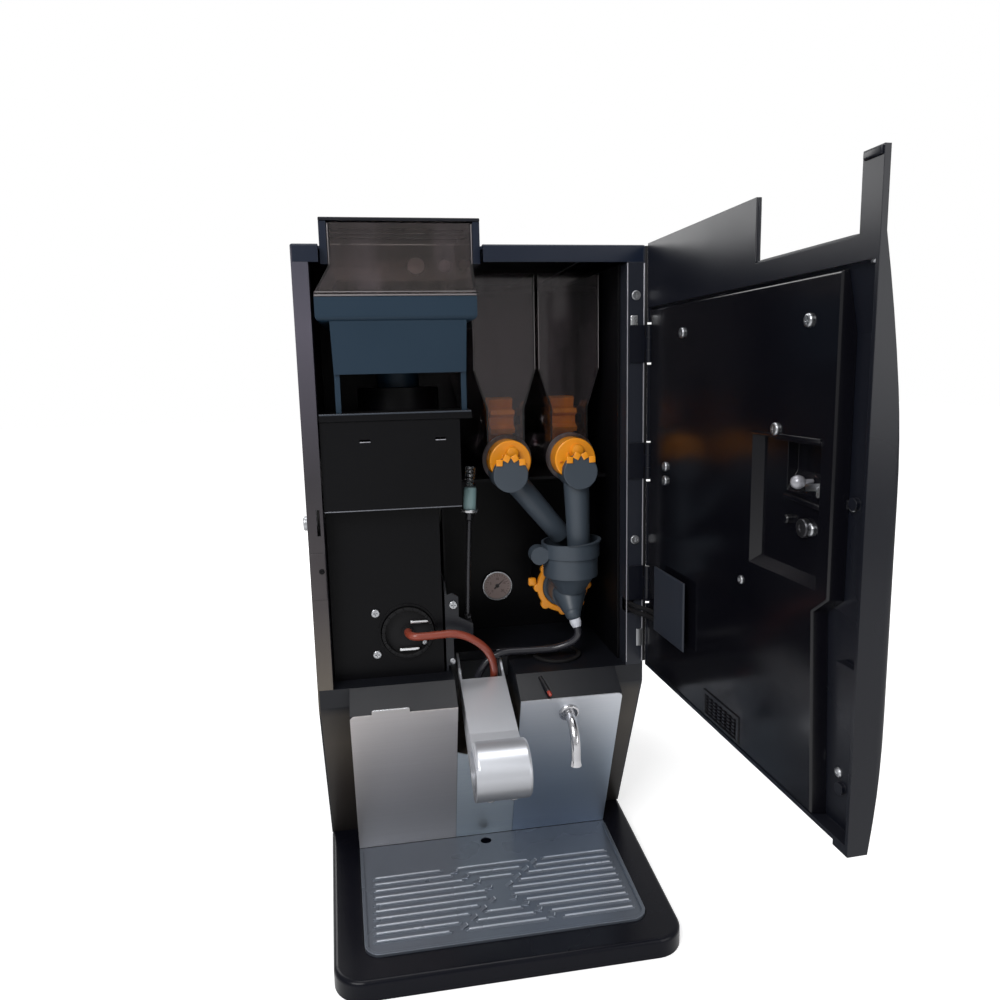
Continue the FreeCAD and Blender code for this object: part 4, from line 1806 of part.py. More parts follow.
PARTS = {
    "base_housing": base_housing,
    "foot_pads": foot_pads,
    "drip_plate": drip_plate,
    "side_panel_left": side_panel_left,
    "side_panel_right": side_panel_right,
    "back_panel": back_panel,
    "rear_inlets": rear_inlets,
    "top_cover": top_cover,
    "hopper_lid": hopper_lid,
    "top_lid": top_lid,
    "recess_housing": recess_housing,
    "splash_left": splash_left,
    "splash_centre": splash_centre,
    "splash_right": splash_right,
    "hot_water_spout": hot_water_spout,
    "outlet_arm": outlet_arm,
    "arm_bracket": arm_bracket,
    "bay_liner": bay_liner,
    "brew_cover_upper": brew_cover_upper,
    "brew_cover_lower": brew_cover_lower,
    "hopper_window": hopper_window,
    "hopper_bin": hopper_bin,
    "canister_left": lambda: canister(CANISTER_X[0]),
    "canister_right": lambda: canister(CANISTER_X[1]),
    "auger_left": lambda: auger(CANISTER_X[0]),
    "auger_right": lambda: auger(CANISTER_X[1]),
    "mix_wheel_left": lambda: mix_wheel(CANISTER_X[0]),
    "mix_wheel_right": lambda: mix_wheel(CANISTER_X[1]),
    "outlet_cap_left": lambda: outlet_cap(CANISTER_X[0]),
    "outlet_cap_right": lambda: outlet_cap(CANISTER_X[1]),
    "dosing_motors": dosing_motors,
    "powder_chutes": powder_chutes,
    "mixer_lid": mixer_lid,
    "mixer_bowl": mixer_bowl,
    "mixer_nozzle": mixer_nozzle,
    "mixer_lock_ring": mixer_lock_ring,
    "mixer_motor": mixer_motor,
    "whipper_wheel": whipper_wheel,
    "mixer_hose": mixer_hose,
    "brew_hose": brew_hose,
    "brew_fitting": brew_fitting,
    "brew_group": brew_group,
    "brew_piston": brew_piston,
    "grinder": grinder,
    "grinder_burr": grinder_burr,
    "gauge_body": gauge_body,
    "gauge_needle": gauge_needle,
    "relief_pipe": relief_pipe,
    "boiler": boiler,
    "pump": pump,
    "power_board": power_board,
    "door_shell": door_shell,
    "door_liner": door_liner,
    "cable_cover": cable_cover,
    "door_screws": door_screws,
    "door_cables": door_cables,
    "hinge_brackets": hinge_brackets,
    "hinge_leaves": hinge_leaves,
    "lock_barrel": lock_barrel,
    "panel_screws": panel_screws,
}

os.makedirs("parts", exist_ok=True)
for name, make in PARTS.items():
    shape = make()
    shape.exportStep("parts/" + name + ".step")
    print(name, "solids", len(shape.Solids), "volume", round(shape.Volume))
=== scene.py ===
# %% [markdown]
# # An instant coffee machine with its door open
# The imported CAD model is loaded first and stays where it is. Every piece made below is drawn
# in metres in the same place as the solid that it dresses, so nothing has to be fitted later.
# Solids whose shape is already right keep their mesh and get a finish. The others are hidden
# and a finer piece stands for them.

# %% Load the machine
import math
import bpy
from mathutils import Matrix, Vector


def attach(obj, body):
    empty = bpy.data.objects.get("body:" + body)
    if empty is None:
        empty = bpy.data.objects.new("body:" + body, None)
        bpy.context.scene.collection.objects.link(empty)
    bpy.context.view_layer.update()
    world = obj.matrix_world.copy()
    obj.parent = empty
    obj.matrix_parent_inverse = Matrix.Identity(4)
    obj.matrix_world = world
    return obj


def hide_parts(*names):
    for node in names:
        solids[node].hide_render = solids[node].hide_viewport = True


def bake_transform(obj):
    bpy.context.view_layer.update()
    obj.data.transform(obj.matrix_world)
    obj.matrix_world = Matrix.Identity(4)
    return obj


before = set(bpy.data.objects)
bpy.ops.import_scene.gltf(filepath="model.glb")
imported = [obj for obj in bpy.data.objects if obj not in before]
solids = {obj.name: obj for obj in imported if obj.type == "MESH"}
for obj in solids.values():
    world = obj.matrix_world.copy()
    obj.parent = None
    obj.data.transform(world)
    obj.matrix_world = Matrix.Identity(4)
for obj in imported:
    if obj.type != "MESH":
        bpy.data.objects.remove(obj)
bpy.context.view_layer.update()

# %% [markdown]
# ## Camera
# The photograph was taken close to the machine, a little left of its middle and from about
# the height of its top, looking slightly down and to the right. A camera is only a place, three
# angles and a lens. They were worked out from edges of the cabinet that are straight and level
# on the real machine, so the same edges fall in the same places in the render.

# %% Camera
EYE = Vector((-0.1048, -0.7424, 0.5180))
TURN, DIP, ROLL = math.radians(9.46), math.radians(9.26), math.radians(-1.3)
ahead = Vector((math.sin(TURN) * math.cos(DIP), math.cos(TURN) * math.cos(DIP), -math.sin(DIP)))
level = Vector((math.cos(TURN), -math.sin(TURN), 0.0))
above = level.cross(ahead)
right = math.cos(ROLL) * level + math.sin(ROLL) * above
up = -math.sin(ROLL) * level + math.cos(ROLL) * above
camera = bpy.data.objects.new("Camera", bpy.data.cameras.new("Camera"))
camera.data.lens, camera.data.sensor_width = 28.22, 36.0
camera.data.clip_start = 0.02
camera.matrix_world = Matrix.Translation(EYE) @ Matrix((right, up, -ahead)).transposed().to_4x4()
bpy.context.scene.collection.objects.link(camera)
bpy.context.scene.camera = camera
print("camera at", [round(v, 3) for v in EYE])

# %% [markdown]
# ## Hand tools
# Blender's operators work on whatever is selected. The loaded solids come in selected, so each
# piece starts with nothing selected. When a piece is done, its place, turn and size are written
# into its mesh, so that every finish starts from the same corner of the room.

# %% Hand tools: selecting
MM = 0.001


def only(piece):
    """Leaves edit mode and selects one piece alone."""
    if bpy.context.mode != "OBJECT":
        bpy.ops.object.mode_set(mode="OBJECT")
    bpy.ops.object.select_all(action="DESELECT")
    piece.select_set(True)
    bpy.context.view_layer.objects.active = piece


def nothing():
    """Leaves edit mode with nothing selected, ready for a new primitive."""
    if bpy.context.mode != "OBJECT":
        bpy.ops.object.mode_set(mode="OBJECT")
    bpy.ops.object.select_all(action="DESELECT")


def settle(piece, name):
    """Names a piece and applies its place, turn and size, so the object sits at the origin."""
    only(piece)
    piece.name = piece.data.name = name
    bpy.ops.object.transform_apply(location=True, rotation=True, scale=True)
    return piece


# %% [markdown]
# ## Hoses
# Four soft tubes cross joints here: the coffee hose and the mixed drink's hose, which both end
# in the outlet arm, and the two cables that reach the door past its hinge. A hose has a fixed
# length and lies in one smooth curve. A NURBS line through a few chosen points gives that
# curve. A round tube is then drawn along the points read from that line.

# %% Hoses: a smooth line and a tube along it
TUBE_SMOOTH_BELOW = math.radians(50)


def smooth_line(points):
    """Points along a NURBS line whose control points are given in millimetres."""
    curve = bpy.data.curves.new("line", "CURVE")
    curve.dimensions = "3D"
    curve.resolution_u = 10
    spline = curve.splines.new("NURBS")
    spline.points.add(len(points) - 1)
    for point, place in zip(spline.points, points):
        point.co = [v * MM for v in place] + [1.0]
    spline.order_u = 3
    spline.use_endpoint_u = True
    holder = bpy.data.objects.new("line", curve)
    bpy.context.scene.collection.objects.link(holder)
    bpy.context.view_layer.update()
    mesh = bpy.data.meshes.new_from_object(holder)
    line = [v.co.copy() for v in mesh.vertices]
    bpy.data.objects.remove(holder)
    return line


def length_of(line):
    """How long a line of points is, in metres."""
    return sum((b - a).length for a, b in zip(line, line[1:]))


def tube_along(name, line, radius, sides=16):
    """A closed round tube of that radius, in metres, that follows the points of a line."""
    nothing()
    curve = bpy.data.curves.new(name, "CURVE")
    curve.dimensions = "3D"
    curve.bevel_depth = radius
    curve.bevel_resolution = sides // 4
    curve.use_fill_caps = True
    spline = curve.splines.new("POLY")
    spline.points.add(len(line) - 1)
    for point, place in zip(spline.points, line):
        point.co = list(place) + [1.0]
    piece = bpy.data.objects.new(name, curve)
    bpy.context.scene.collection.objects.link(piece)
    only(piece)
    bpy.ops.object.convert(target="MESH")
    piece = bpy.context.active_object
    bpy.ops.object.mode_set(mode="EDIT")
    bpy.ops.mesh.select_all(action="SELECT")
    bpy.ops.mesh.remove_doubles(threshold=1e-6)
    bpy.ops.mesh.normals_make_consistent(inside=False)
    bpy.ops.object.mode_set(mode="OBJECT")
    bpy.ops.object.shade_smooth_by_angle(angle=TUBE_SMOOTH_BELOW)
    return settle(piece, name)


# %% Hoses: the coffee hose and the mixed drink's hose
HOSE_RADIUS, CABLE_RADIUS = 4.0 * MM, 2.4 * MM
BREW_ROUTE = [
    (-74.5, 20.7, 262), (-74.5, 3, 262), (-50.5, 7, 261), (-24, 7, 262),
    (1, 9, 246), (13, 20, 222), (13.5, 31, 203),
]
MIXER_ROUTE = [
    (104.23, 32.27, 249.64), (107.16, 29.34, 238.38), (84, 38, 225), (52, 40, 225),
    (21, 40, 226), (3, 40, 214), (-3, 40, 200),
]
CABLE_ROUTE = [(151, 10), (151, -8), (160.8, -24), (163.9, -38), (163.9, -50.9)]
CABLE_LEVELS = (275.5, 281.5)

brew_line = smooth_line(BREW_ROUTE)
brew_hose = tube_along("coffee_hose", brew_line, HOSE_RADIUS)
mixer_line = smooth_line(MIXER_ROUTE)
mixer_hose = tube_along("drink_hose", mixer_line, HOSE_RADIUS)
cables = []
cable_lines = []
for level_mm in CABLE_LEVELS:
    line = smooth_line([(x, y, level_mm) for x, y in CABLE_ROUTE])
    cable_lines.append(line)
    cables.append(tube_along(f"door_cable_{len(cables)}", line, CABLE_RADIUS, 12))
print("hose lengths", [round(length_of(x) / MM, 1) for x in (brew_line, mixer_line, *cable_lines)])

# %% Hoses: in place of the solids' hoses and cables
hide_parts("brew_hose")
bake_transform(brew_hose)
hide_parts("mixer_hose")
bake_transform(mixer_hose)
for cable, line in zip(cables, cable_lines):
    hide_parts("door_cables")
    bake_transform(cable)

# %% [markdown]
# ## Light, floor and background
# The machine is black, steel and clear plastic, so most of what the eye sees is what the
# surfaces mirror. Large soft lamps give long even highlights, and the floor and the background
# are white to the camera and to mirrors, while they light the machine only a little. That
# keeps black plastic black and keeps the colours close to the ones that are written here.

# %% Light: two helpers
def node(finish, kind, **values):
    """Adds a shader node. Lower-case names are its settings, the others its sockets, which take
    a value or another node's output. I0, I1 and so on are sockets by their number."""
    made = finish.node_tree.nodes.new("ShaderNode" + kind)
    for name, value in values.items():
        if name[0].islower():
            setattr(made, name, value)
            continue
        numbered = name[0] == "I" and name[1:].isdigit()
        socket = made.inputs[int(name[1:]) if numbered else name.replace("_", " ")]
        if isinstance(value, bpy.types.NodeSocket):
            finish.node_tree.links.new(value, socket)
        else:
            socket.default_value = value
    return made


def softbox(name, place, aim, size, power):
    """A square lamp at a place, turned towards a point."""
    lamp = bpy.data.objects.new(name, bpy.data.lights.new(name, "AREA"))
    lamp.data.shape, lamp.data.size, lamp.data.energy = "SQUARE", size, power
    lamp.location = place
    lamp.rotation_euler = (Vector(aim) - Vector(place)).to_track_quat("-Z", "Y").to_euler()
    bpy.context.scene.collection.objects.link(lamp)


# %% Light: four lamps and the background
softbox("key_lamp", (-1.1, -1.5, 1.7), (0.0, -0.05, 0.30), 1.1, 34.0)
softbox("fill_lamp", (1.3, -1.6, 0.9), (0.0, 0.0, 0.30), 1.2, 12.0)
softbox("top_lamp", (0.1, 0.2, 2.0), (0.0, 0.0, 0.40), 1.2, 16.0)
softbox("back_lamp", (-0.9, 1.6, 1.3), (0.0, 0.2, 0.35), 1.0, 12.0)

world = bpy.data.worlds.new("Studio")
world.use_nodes = True
bpy.context.scene.world = world
seen = node(world, "LightPath")
mirrored = node(world, "Math", operation="MAXIMUM", I0=seen.outputs["Is Camera Ray"],
                I1=seen.outputs["Is Transmission Ray"])
glossy = node(world, "Math", operation="MULTIPLY", I0=seen.outputs["Is Glossy Ray"], I1=0.36)
shown = node(world, "Math", operation="MAXIMUM", I0=mirrored.outputs[0], I1=glossy.outputs[0])
level_of = node(world, "MapRange", Value=shown.outputs[0], To_Min=0.30, To_Max=1.0)
sky = world.node_tree.nodes["Background"]
sky.inputs["Color"].default_value = (1.0, 1.0, 1.0, 1.0)
world.node_tree.links.new(level_of.outputs[0], sky.inputs["Strength"])
print("lamps", len(bpy.data.lights))

# %% Light: a sheet of white paper as the floor
nothing()
bpy.ops.mesh.primitive_plane_add(size=14.0, location=(0.0, 2.0, -0.0003))
floor = settle(bpy.context.active_object, "floor")
paper = bpy.data.materials.new("white_paper")
paper.use_nodes = True
ray = node(paper, "LightPath")
place = node(paper, "TexCoord").outputs["Object"]
pulp = node(paper, "TexNoise", Vector=place, Scale=900.0, Detail=2.0)
paper_skin = node(paper, "Bump", Strength=0.03, Distance=0.0002, Height=pulp.outputs["Fac"])
plain = node(paper, "BsdfDiffuse", Color=(0.90, 0.90, 0.90, 1.0), Normal=paper_skin.outputs[0])
away = node(paper, "VectorMath", operation="LENGTH", Vector=place)
farther = node(paper, "MapRange", Value=away.outputs["Value"], From_Min=0.35, From_Max=1.6, To_Min=0.42, To_Max=0.85)
lift = node(paper, "Math", operation="MULTIPLY", I0=ray.outputs["Is Camera Ray"], I1=farther.outputs[0])
glow = node(paper, "Emission", Color=(1.0, 1.0, 1.0, 1.0), Strength=lift.outputs[0])
both = node(paper, "AddShader", I0=plain.outputs[0], I1=glow.outputs[0])
paper.node_tree.links.new(both.outputs[0], paper.node_tree.nodes["Material Output"].inputs["Surface"])
floor.data.materials.append(paper)
bpy.context.scene.view_settings.view_transform = "Standard"
print("floor laid")

# %% [markdown]
# ## Finishes
# Every surface of a machine like this is moulded plastic, painted or brushed metal, rubber or
# clear plastic. One recipe does for the plain ones: a colour that drifts a little over a
# hand's width, a fine grain that the light catches, a roughness that changes where hands and
# cloths have been, edges rubbed a shade lighter and a trace of dust on what faces up. Each
# finish names its own numbers, and the noise is laid in object coordinates, so it stays put
# when a piece moves.

# %% Finishes: the recipe for plastic and paint
BAND_REACH = 0.7  # the height in metres that a ramp on a paint covers
DUST = (0.42, 0.38, 0.33, 1.0)


def link(finish, output, socket):
    """Plugs an output into a socket of the finish's main shader."""
    finish.node_tree.links.new(output, finish.node_tree.nodes["Principled BSDF"].inputs[socket])


def tinted(colour, share):
    """A colour made darker below 1 and lighter above it, kept within what a surface can show."""
    return tuple(min(0.95, v * share) for v in colour) + (1.0,)


def ramp_up(finish, place, bands, reach):
    """A colour ramp over height that paints light and shade. bands lists heights in metres with the colour painted
    there.
    """
    height = node(finish, "SeparateXYZ", Vector=place).outputs["Z"]
    share = node(finish, "Math", operation="DIVIDE", I0=height, I1=reach)
    ramp = node(finish, "ValToRGB", Fac=share.outputs[0])
    steps = ramp.color_ramp.elements
    while len(steps) < len(bands):
        steps.new(0.5)
    for step, (at, shade) in zip(steps, bands):
        step.position, step.color = at / reach, shade + (1.0,)
    return ramp


def moulded(name, colour, rough, drift=0.12, grain=900.0, depth=0.06, wear=1.6, dust=0.03,
            metal=0.0, shine=0.5, bands=None, front=1.0):
    """Plastic or paint. grain is in ridges a metre, depth is how far the grain stands out.
    bands lists heights in metres with a colour of painted light and shade there, up to the depth
    front, behind which the plain colour goes on."""
    finish = bpy.data.materials.new(name)
    finish.use_nodes = True
    shader = finish.node_tree.nodes["Principled BSDF"]
    shader.inputs["Metallic"].default_value = metal
    shader.inputs["Specular IOR Level"].default_value = shine
    place = node(finish, "TexCoord").outputs["Object"]
    cloud = node(finish, "TexNoise", Vector=place, Scale=5.0, Detail=4.0, Roughness=0.6)
    fine = node(finish, "TexNoise", Vector=place, Scale=grain, Detail=2.0)
    body = node(finish, "Mix", data_type="RGBA", I0=cloud.outputs["Fac"],
                I6=tinted(colour, 1 - drift), I7=tinted(colour, 1 + drift))
    # In front of the depth front the colour is the painted light and shade of the bands; behind it, the plain colour.
    if bands:
        ramp = ramp_up(finish, place, bands, BAND_REACH)
        finish.node_tree.links.new(ramp.outputs[0], body.inputs[6])
        spot = node(finish, "SeparateXYZ", Vector=place)
        behind = node(finish, "MapRange", Value=spot.outputs["Y"], From_Min=front, From_Max=front + 0.003)
        finish.node_tree.links.new(behind.outputs[0], body.inputs[0])
    # An edge is where a rounded normal and the true one part: rubbed a little lighter there.
    rounded = node(finish, "Bevel", samples=4, Radius=0.0007)
    true = node(finish, "NewGeometry")
    along = node(finish, "VectorMath", operation="DOT_PRODUCT", I0=rounded.outputs[0], I1=true.outputs["Normal"])
    edge = node(finish, "MapRange", Value=along.outputs["Value"], From_Min=0.98, From_Max=0.80,
                To_Min=0.0, To_Max=0.6)
    rubbed = node(finish, "Mix", data_type="RGBA", I0=edge.outputs[0],
                  I6=body.outputs[2], I7=tinted(tuple(v + 0.01 for v in colour), wear))
    tilt = node(finish, "SeparateXYZ", Vector=true.outputs["Normal"])
    flat = node(finish, "MapRange", Value=tilt.outputs["Z"], From_Min=0.6, From_Max=1.0,
                To_Min=0.0, To_Max=dust)
    speck = node(finish, "TexNoise", Vector=place, Scale=70.0, Detail=6.0, Roughness=0.8)
    settled = node(finish, "Math", operation="MULTIPLY", I0=flat.outputs[0], I1=speck.outputs["Fac"])
    dusty = node(finish, "Mix", data_type="RGBA", I0=settled.outputs[0],
                 I6=rubbed.outputs[2], I7=DUST)
    link(finish, dusty.outputs[2], "Base Color")
    sheen = node(finish, "MapRange", Value=cloud.outputs["Fac"], From_Min=0.3, From_Max=0.7,
                 To_Min=max(0.03, rough - 0.06), To_Max=rough + 0.06)
    link(finish, sheen.outputs[0], "Roughness")
    skin = node(finish, "Bump", Strength=depth, Distance=0.0004, Height=fine.outputs["Fac"],
                Normal=rounded.outputs[0])
    link(finish, skin.outputs[0], "Normal")
    return finish


# %% Finishes: paints
# The bands below are painted light: reflections in bands by height on the left side panel's front strip, and on the
# outlet arm painted shade at its nose and a painted highlight on its top.
STRIP_PAINTED_LIGHT = [(0.0, (0.010, 0.010, 0.012)), (0.214, (0.105, 0.090, 0.074)), (0.30, (0.050, 0.043, 0.045)),
               (0.42, (0.034, 0.031, 0.036)), (0.56, (0.078, 0.072, 0.094)), (0.64, (0.045, 0.045, 0.062))]
ARM_PAINTED_LIGHT = [(0.0, (0.20, 0.205, 0.22)), (0.130, (0.23, 0.235, 0.25)), (0.152, (0.44, 0.45, 0.48)),
             (0.168, (0.70, 0.72, 0.77)), (0.22, (0.80, 0.82, 0.87))]
black_paint = moulded("black_paint", (0.0042, 0.0050, 0.0090), 0.30, grain=1400.0, depth=0.04, shine=0.28, dust=0.015)
strip_paint = moulded("strip_paint", (0.0060, 0.0068, 0.0105), 0.34, grain=1400.0, depth=0.05, shine=0.3,
                      front=0.002, bands=STRIP_PAINTED_LIGHT)
top_paint = moulded("top_paint", (0.0048, 0.0090, 0.0210), 0.32, grain=1400.0, depth=0.04, shine=0.28, dust=0.015)
# The next finish is the side panels' black paint made lighter and bluer for the right panel: painted light.
right_paint = moulded("right_paint", (0.014, 0.016, 0.023), 0.30, grain=1400.0, depth=0.04, shine=0.30)
bracket_paint = moulded("bracket_paint", (0.010, 0.011, 0.015), 0.40, grain=1500.0, depth=0.08, shine=0.35)
silver_paint = moulded("silver_paint", (0.50, 0.515, 0.55), 0.38, metal=0.7, grain=2600.0, depth=0.03, wear=1.10,
                       drift=0.03, dust=0.0, bands=ARM_PAINTED_LIGHT)
tray_grey = moulded("tray_grey", (0.125, 0.142, 0.172), 0.30, grain=1300.0, depth=0.05, metal=0.55, wear=2.0, dust=0.0)
# The next finish is a painted highlight: it colours the bright bars on the tray's rib crests and tab edges.
highlight_silver = moulded("highlight_silver", (0.48, 0.51, 0.57), 0.26, metal=0.5, wear=1.2, dust=0.0)
plate_slate = moulded("plate_slate", (0.022, 0.026, 0.036), 0.40, shine=0.3)
needle_paint = moulded("needle_paint", (0.02, 0.012, 0.010), 0.4)
gauge_paper = moulded("gauge_paper", (0.46, 0.36, 0.34), 0.45, wear=1.1, shine=0.3)
print("paints:", [m.name for m in bpy.data.materials if m.name.endswith("paint")])

# %% Finishes: plastics and rubber
# The ledge bands below paint light and shade by height on the recess housing: a lit brownish band across its cheeks,
# darker below and above.
LEDGE_PAINTED_LIGHT = [(0.0, (0.012, 0.011, 0.011)), (0.09, (0.024, 0.020, 0.018)), (0.150, (0.052, 0.044, 0.036)),
               (0.186, (0.036, 0.031, 0.027)), (0.197, (0.0050, 0.0058, 0.0090))]
black_bay = moulded("black_bay", (0.0022, 0.0022, 0.003), 0.42, grain=1200.0, depth=0.10, dust=0.02, shine=0.12)
black_shine = moulded("black_shine", (0.0030, 0.0030, 0.0048), 0.18, grain=160.0, depth=0.02, shine=0.35)
base_plastic = moulded("base_plastic", (0.0020, 0.0024, 0.0056), 0.24, grain=1600.0, depth=0.06, shine=0.15, dust=0.01)
slate_plastic = moulded("slate_plastic", (0.010, 0.026, 0.046), 0.46, grain=1800.0, depth=0.10, wear=1.4, shine=0.25)
mixer_grey = moulded("mixer_grey", (0.048, 0.062, 0.080), 0.42, grain=1500.0, depth=0.06, wear=1.25, shine=0.4)
ledge_slate = moulded("ledge_slate", (0.0042, 0.0052, 0.0085), 0.34, grain=1500.0, depth=0.08, shine=0.3,
                      dust=0.01, bands=LEDGE_PAINTED_LIGHT)
orange_plastic = moulded("orange_plastic", (0.86, 0.31, 0.012), 0.30, grain=1200.0, depth=0.03, wear=1.08, drift=0.06)
# The next finish is a darker copy of the orange cap plastic: painted shade on the milled ribs of each cap's lower half.
orange_shade_plastic = moulded("orange_shade_plastic", (0.60, 0.16, 0.008), 0.34, grain=1200.0, depth=0.03, wear=1.1)
red_plastic = moulded("red_plastic", (0.34, 0.045, 0.03), 0.3)
white_plastic = moulded("white_plastic", (0.62, 0.64, 0.70), 0.40, wear=1.1)
clean_white = moulded("clean_white", (0.80, 0.80, 0.82), 0.35, wear=1.02)
teal_plastic = moulded("teal_plastic", (0.24, 0.37, 0.38), 0.40, wear=1.2)
board_green = moulded("board_green", (0.010, 0.075, 0.030), 0.35)
rubber_black = moulded("rubber_black", (0.006, 0.006, 0.007), 0.6, grain=2200.0, depth=0.2, shine=0.2)
hose_rust = moulded("hose_rust", (0.24, 0.045, 0.025), 0.34, grain=900.0, depth=0.05, wear=1.2)
hose_smoke = moulded("hose_smoke", (0.022, 0.022, 0.028), 0.22, grain=900.0, depth=0.05, wear=1.2)
# These four finishes colour thin beads that are painted highlights on edges; the silver one also colours the door
# lever's pale ball.
highlight_glass = moulded("highlight_glass", (0.16, 0.145, 0.15), 0.25, shine=0.6)
highlight_grey = moulded("highlight_grey", (0.13, 0.135, 0.155), 0.30, metal=0.4)
silver_and_highlight = moulded("silver_and_highlight", (0.30, 0.30, 0.33), 0.30, metal=0.4)
highlight_slate = moulded("highlight_slate", (0.026, 0.034, 0.048), 0.35)
print("plastics:", [m.name for m in bpy.data.materials if m.name.endswith("plastic")])

# %% Finishes: plain metals
SOCKET_BLACK = (0.006, 0.006, 0.007, 1.0)
pressed_steel = moulded("pressed_steel", (0.42, 0.43, 0.45), 0.30, metal=1.0, grain=700.0, wear=1.2)
dark_metal = moulded("dark_metal", (0.045, 0.045, 0.050), 0.30, metal=0.8, grain=700.0, wear=1.6)
bright_metal = moulded("bright_metal", (0.70, 0.71, 0.73), 0.22, metal=0.9, grain=700.0, depth=0.02, wear=1.1)
plain_brass = moulded("plain_brass", (0.60, 0.42, 0.17), 0.30, metal=1.0, wear=1.2)
# The water inlet on the right is brass and the mains socket on the left is black plastic.
across = node(plain_brass, "SeparateXYZ", Vector=node(plain_brass, "TexCoord").outputs["Object"]).outputs["X"]
on_right = node(plain_brass, "Math", operation="GREATER_THAN", I0=across, I1=0.0).outputs[0]
brass = plain_brass.node_tree.nodes["Principled BSDF"].inputs["Base Color"].links[0].from_socket
two_kinds = node(plain_brass, "Mix", data_type="RGBA", I0=on_right, I6=SOCKET_BLACK, I7=brass)
link(plain_brass, two_kinds.outputs[2], "Base Color")
link(plain_brass, on_right, "Metallic")
print("metals:", [m.name for m in (pressed_steel, dark_metal, bright_metal, plain_brass)])

# %% [markdown]
# ## Brushed and polished metal, and clear plastic
# Brushed sheet carries thousands of fine scratches that all run one way. A noise that is
# stretched along that way and squeezed across it draws them, in the roughness and in a faint
# bump. The clear hopper window and canisters are brown-tinted plastic: nearly smooth, with a
# haze of fine powder inside that stands in upright streaks.

# %% Finishes: brushed and polished metal
SHEET_REACH = 0.25  # the height in metres that a ramp on sheet metal covers


def brushed(name, colour, rough, along="x", strength=0.05, bands=None):
    """Metal with scratches along x or z. bands lists heights in metres with a painted reflection that the colour is
    multiplied by.
    """
    finish = bpy.data.materials.new(name)
    finish.use_nodes = True
    shader = finish.node_tree.nodes["Principled BSDF"]
    shader.inputs["Metallic"].default_value = 1.0
    place = node(finish, "TexCoord").outputs["Object"]
    squeeze = (6.0, 900.0, 900.0) if along == "x" else (900.0, 900.0, 6.0)
    laid = node(finish, "Mapping", Vector=place, Scale=squeeze)
    lines = node(finish, "TexNoise", Vector=laid.outputs[0], Scale=1.0, Detail=5.0, Roughness=0.65)
    cloud = node(finish, "TexNoise", Vector=place, Scale=7.0, Detail=3.0)
    body = node(finish, "Mix", data_type="RGBA", I0=lines.outputs["Fac"],
                I6=tinted(colour, 0.90), I7=tinted(colour, 1.10))
    sheet_with_painted_reflection = body.outputs[2]
    # The bands multiply a painted reflection by height into the sheet's colour.
    if bands:
        ramp = ramp_up(finish, place, bands, SHEET_REACH)
        ramp.color_ramp.interpolation = "B_SPLINE"
        sheet_with_painted_reflection = node(finish, "Mix", data_type="RGBA", blend_type="MULTIPLY", I0=1.0,
                    I6=body.outputs[2], I7=ramp.outputs[0]).outputs[2]
    link(finish, sheet_with_painted_reflection, "Base Color")
    mixed = node(finish, "Math", operation="MULTIPLY_ADD", I0=cloud.outputs["Fac"], I1=0.10, I2=rough - 0.05)
    uneven = node(finish, "Math", operation="MULTIPLY_ADD", I0=lines.outputs["Fac"], I1=0.10, I2=mixed.outputs[0])
    link(finish, uneven.outputs[0], "Roughness")
    rounded = node(finish, "Bevel", samples=4, Radius=0.0005)
    skin = node(finish, "Bump", Strength=strength, Distance=0.0003, Height=lines.outputs["Fac"],
                Normal=rounded.outputs[0])
    link(finish, skin.outputs[0], "Normal")
    return finish


# %% Finishes: the sheets and the spout
# These bands are painted reflections by height on the left and right splash plates, and the blue tint of the centre and
# right plates is a painted reflection too.
LEFT_PAINTED_REFLECTION = [(0.015, (0.96, 0.94, 0.94)), (0.06, (0.70, 0.69, 0.70)),
              (0.11, (0.58, 0.56, 0.57)), (0.20, (0.80, 0.77, 0.77))]
RIGHT_PAINTED_REFLECTION = [(0.015, (0.68, 0.78, 0.92)), (0.07, (0.44, 0.52, 0.62)),
               (0.13, (0.45, 0.50, 0.56)), (0.20, (0.92, 0.92, 0.94))]
splash_steel = brushed("splash_steel", (0.92, 0.90, 0.89), 0.42, bands=LEFT_PAINTED_REFLECTION)
centre_steel = brushed("centre_steel", (0.80, 0.88, 0.98), 0.38)
right_steel = brushed("right_steel", (0.88, 0.92, 0.98), 0.40, bands=RIGHT_PAINTED_REFLECTION)
spout_steel = brushed("spout_steel", (0.55, 0.55, 0.57), 0.12, along="z", strength=0.02)
print("sheets:", [m.name for m in (splash_steel, centre_steel, right_steel, spout_steel)])


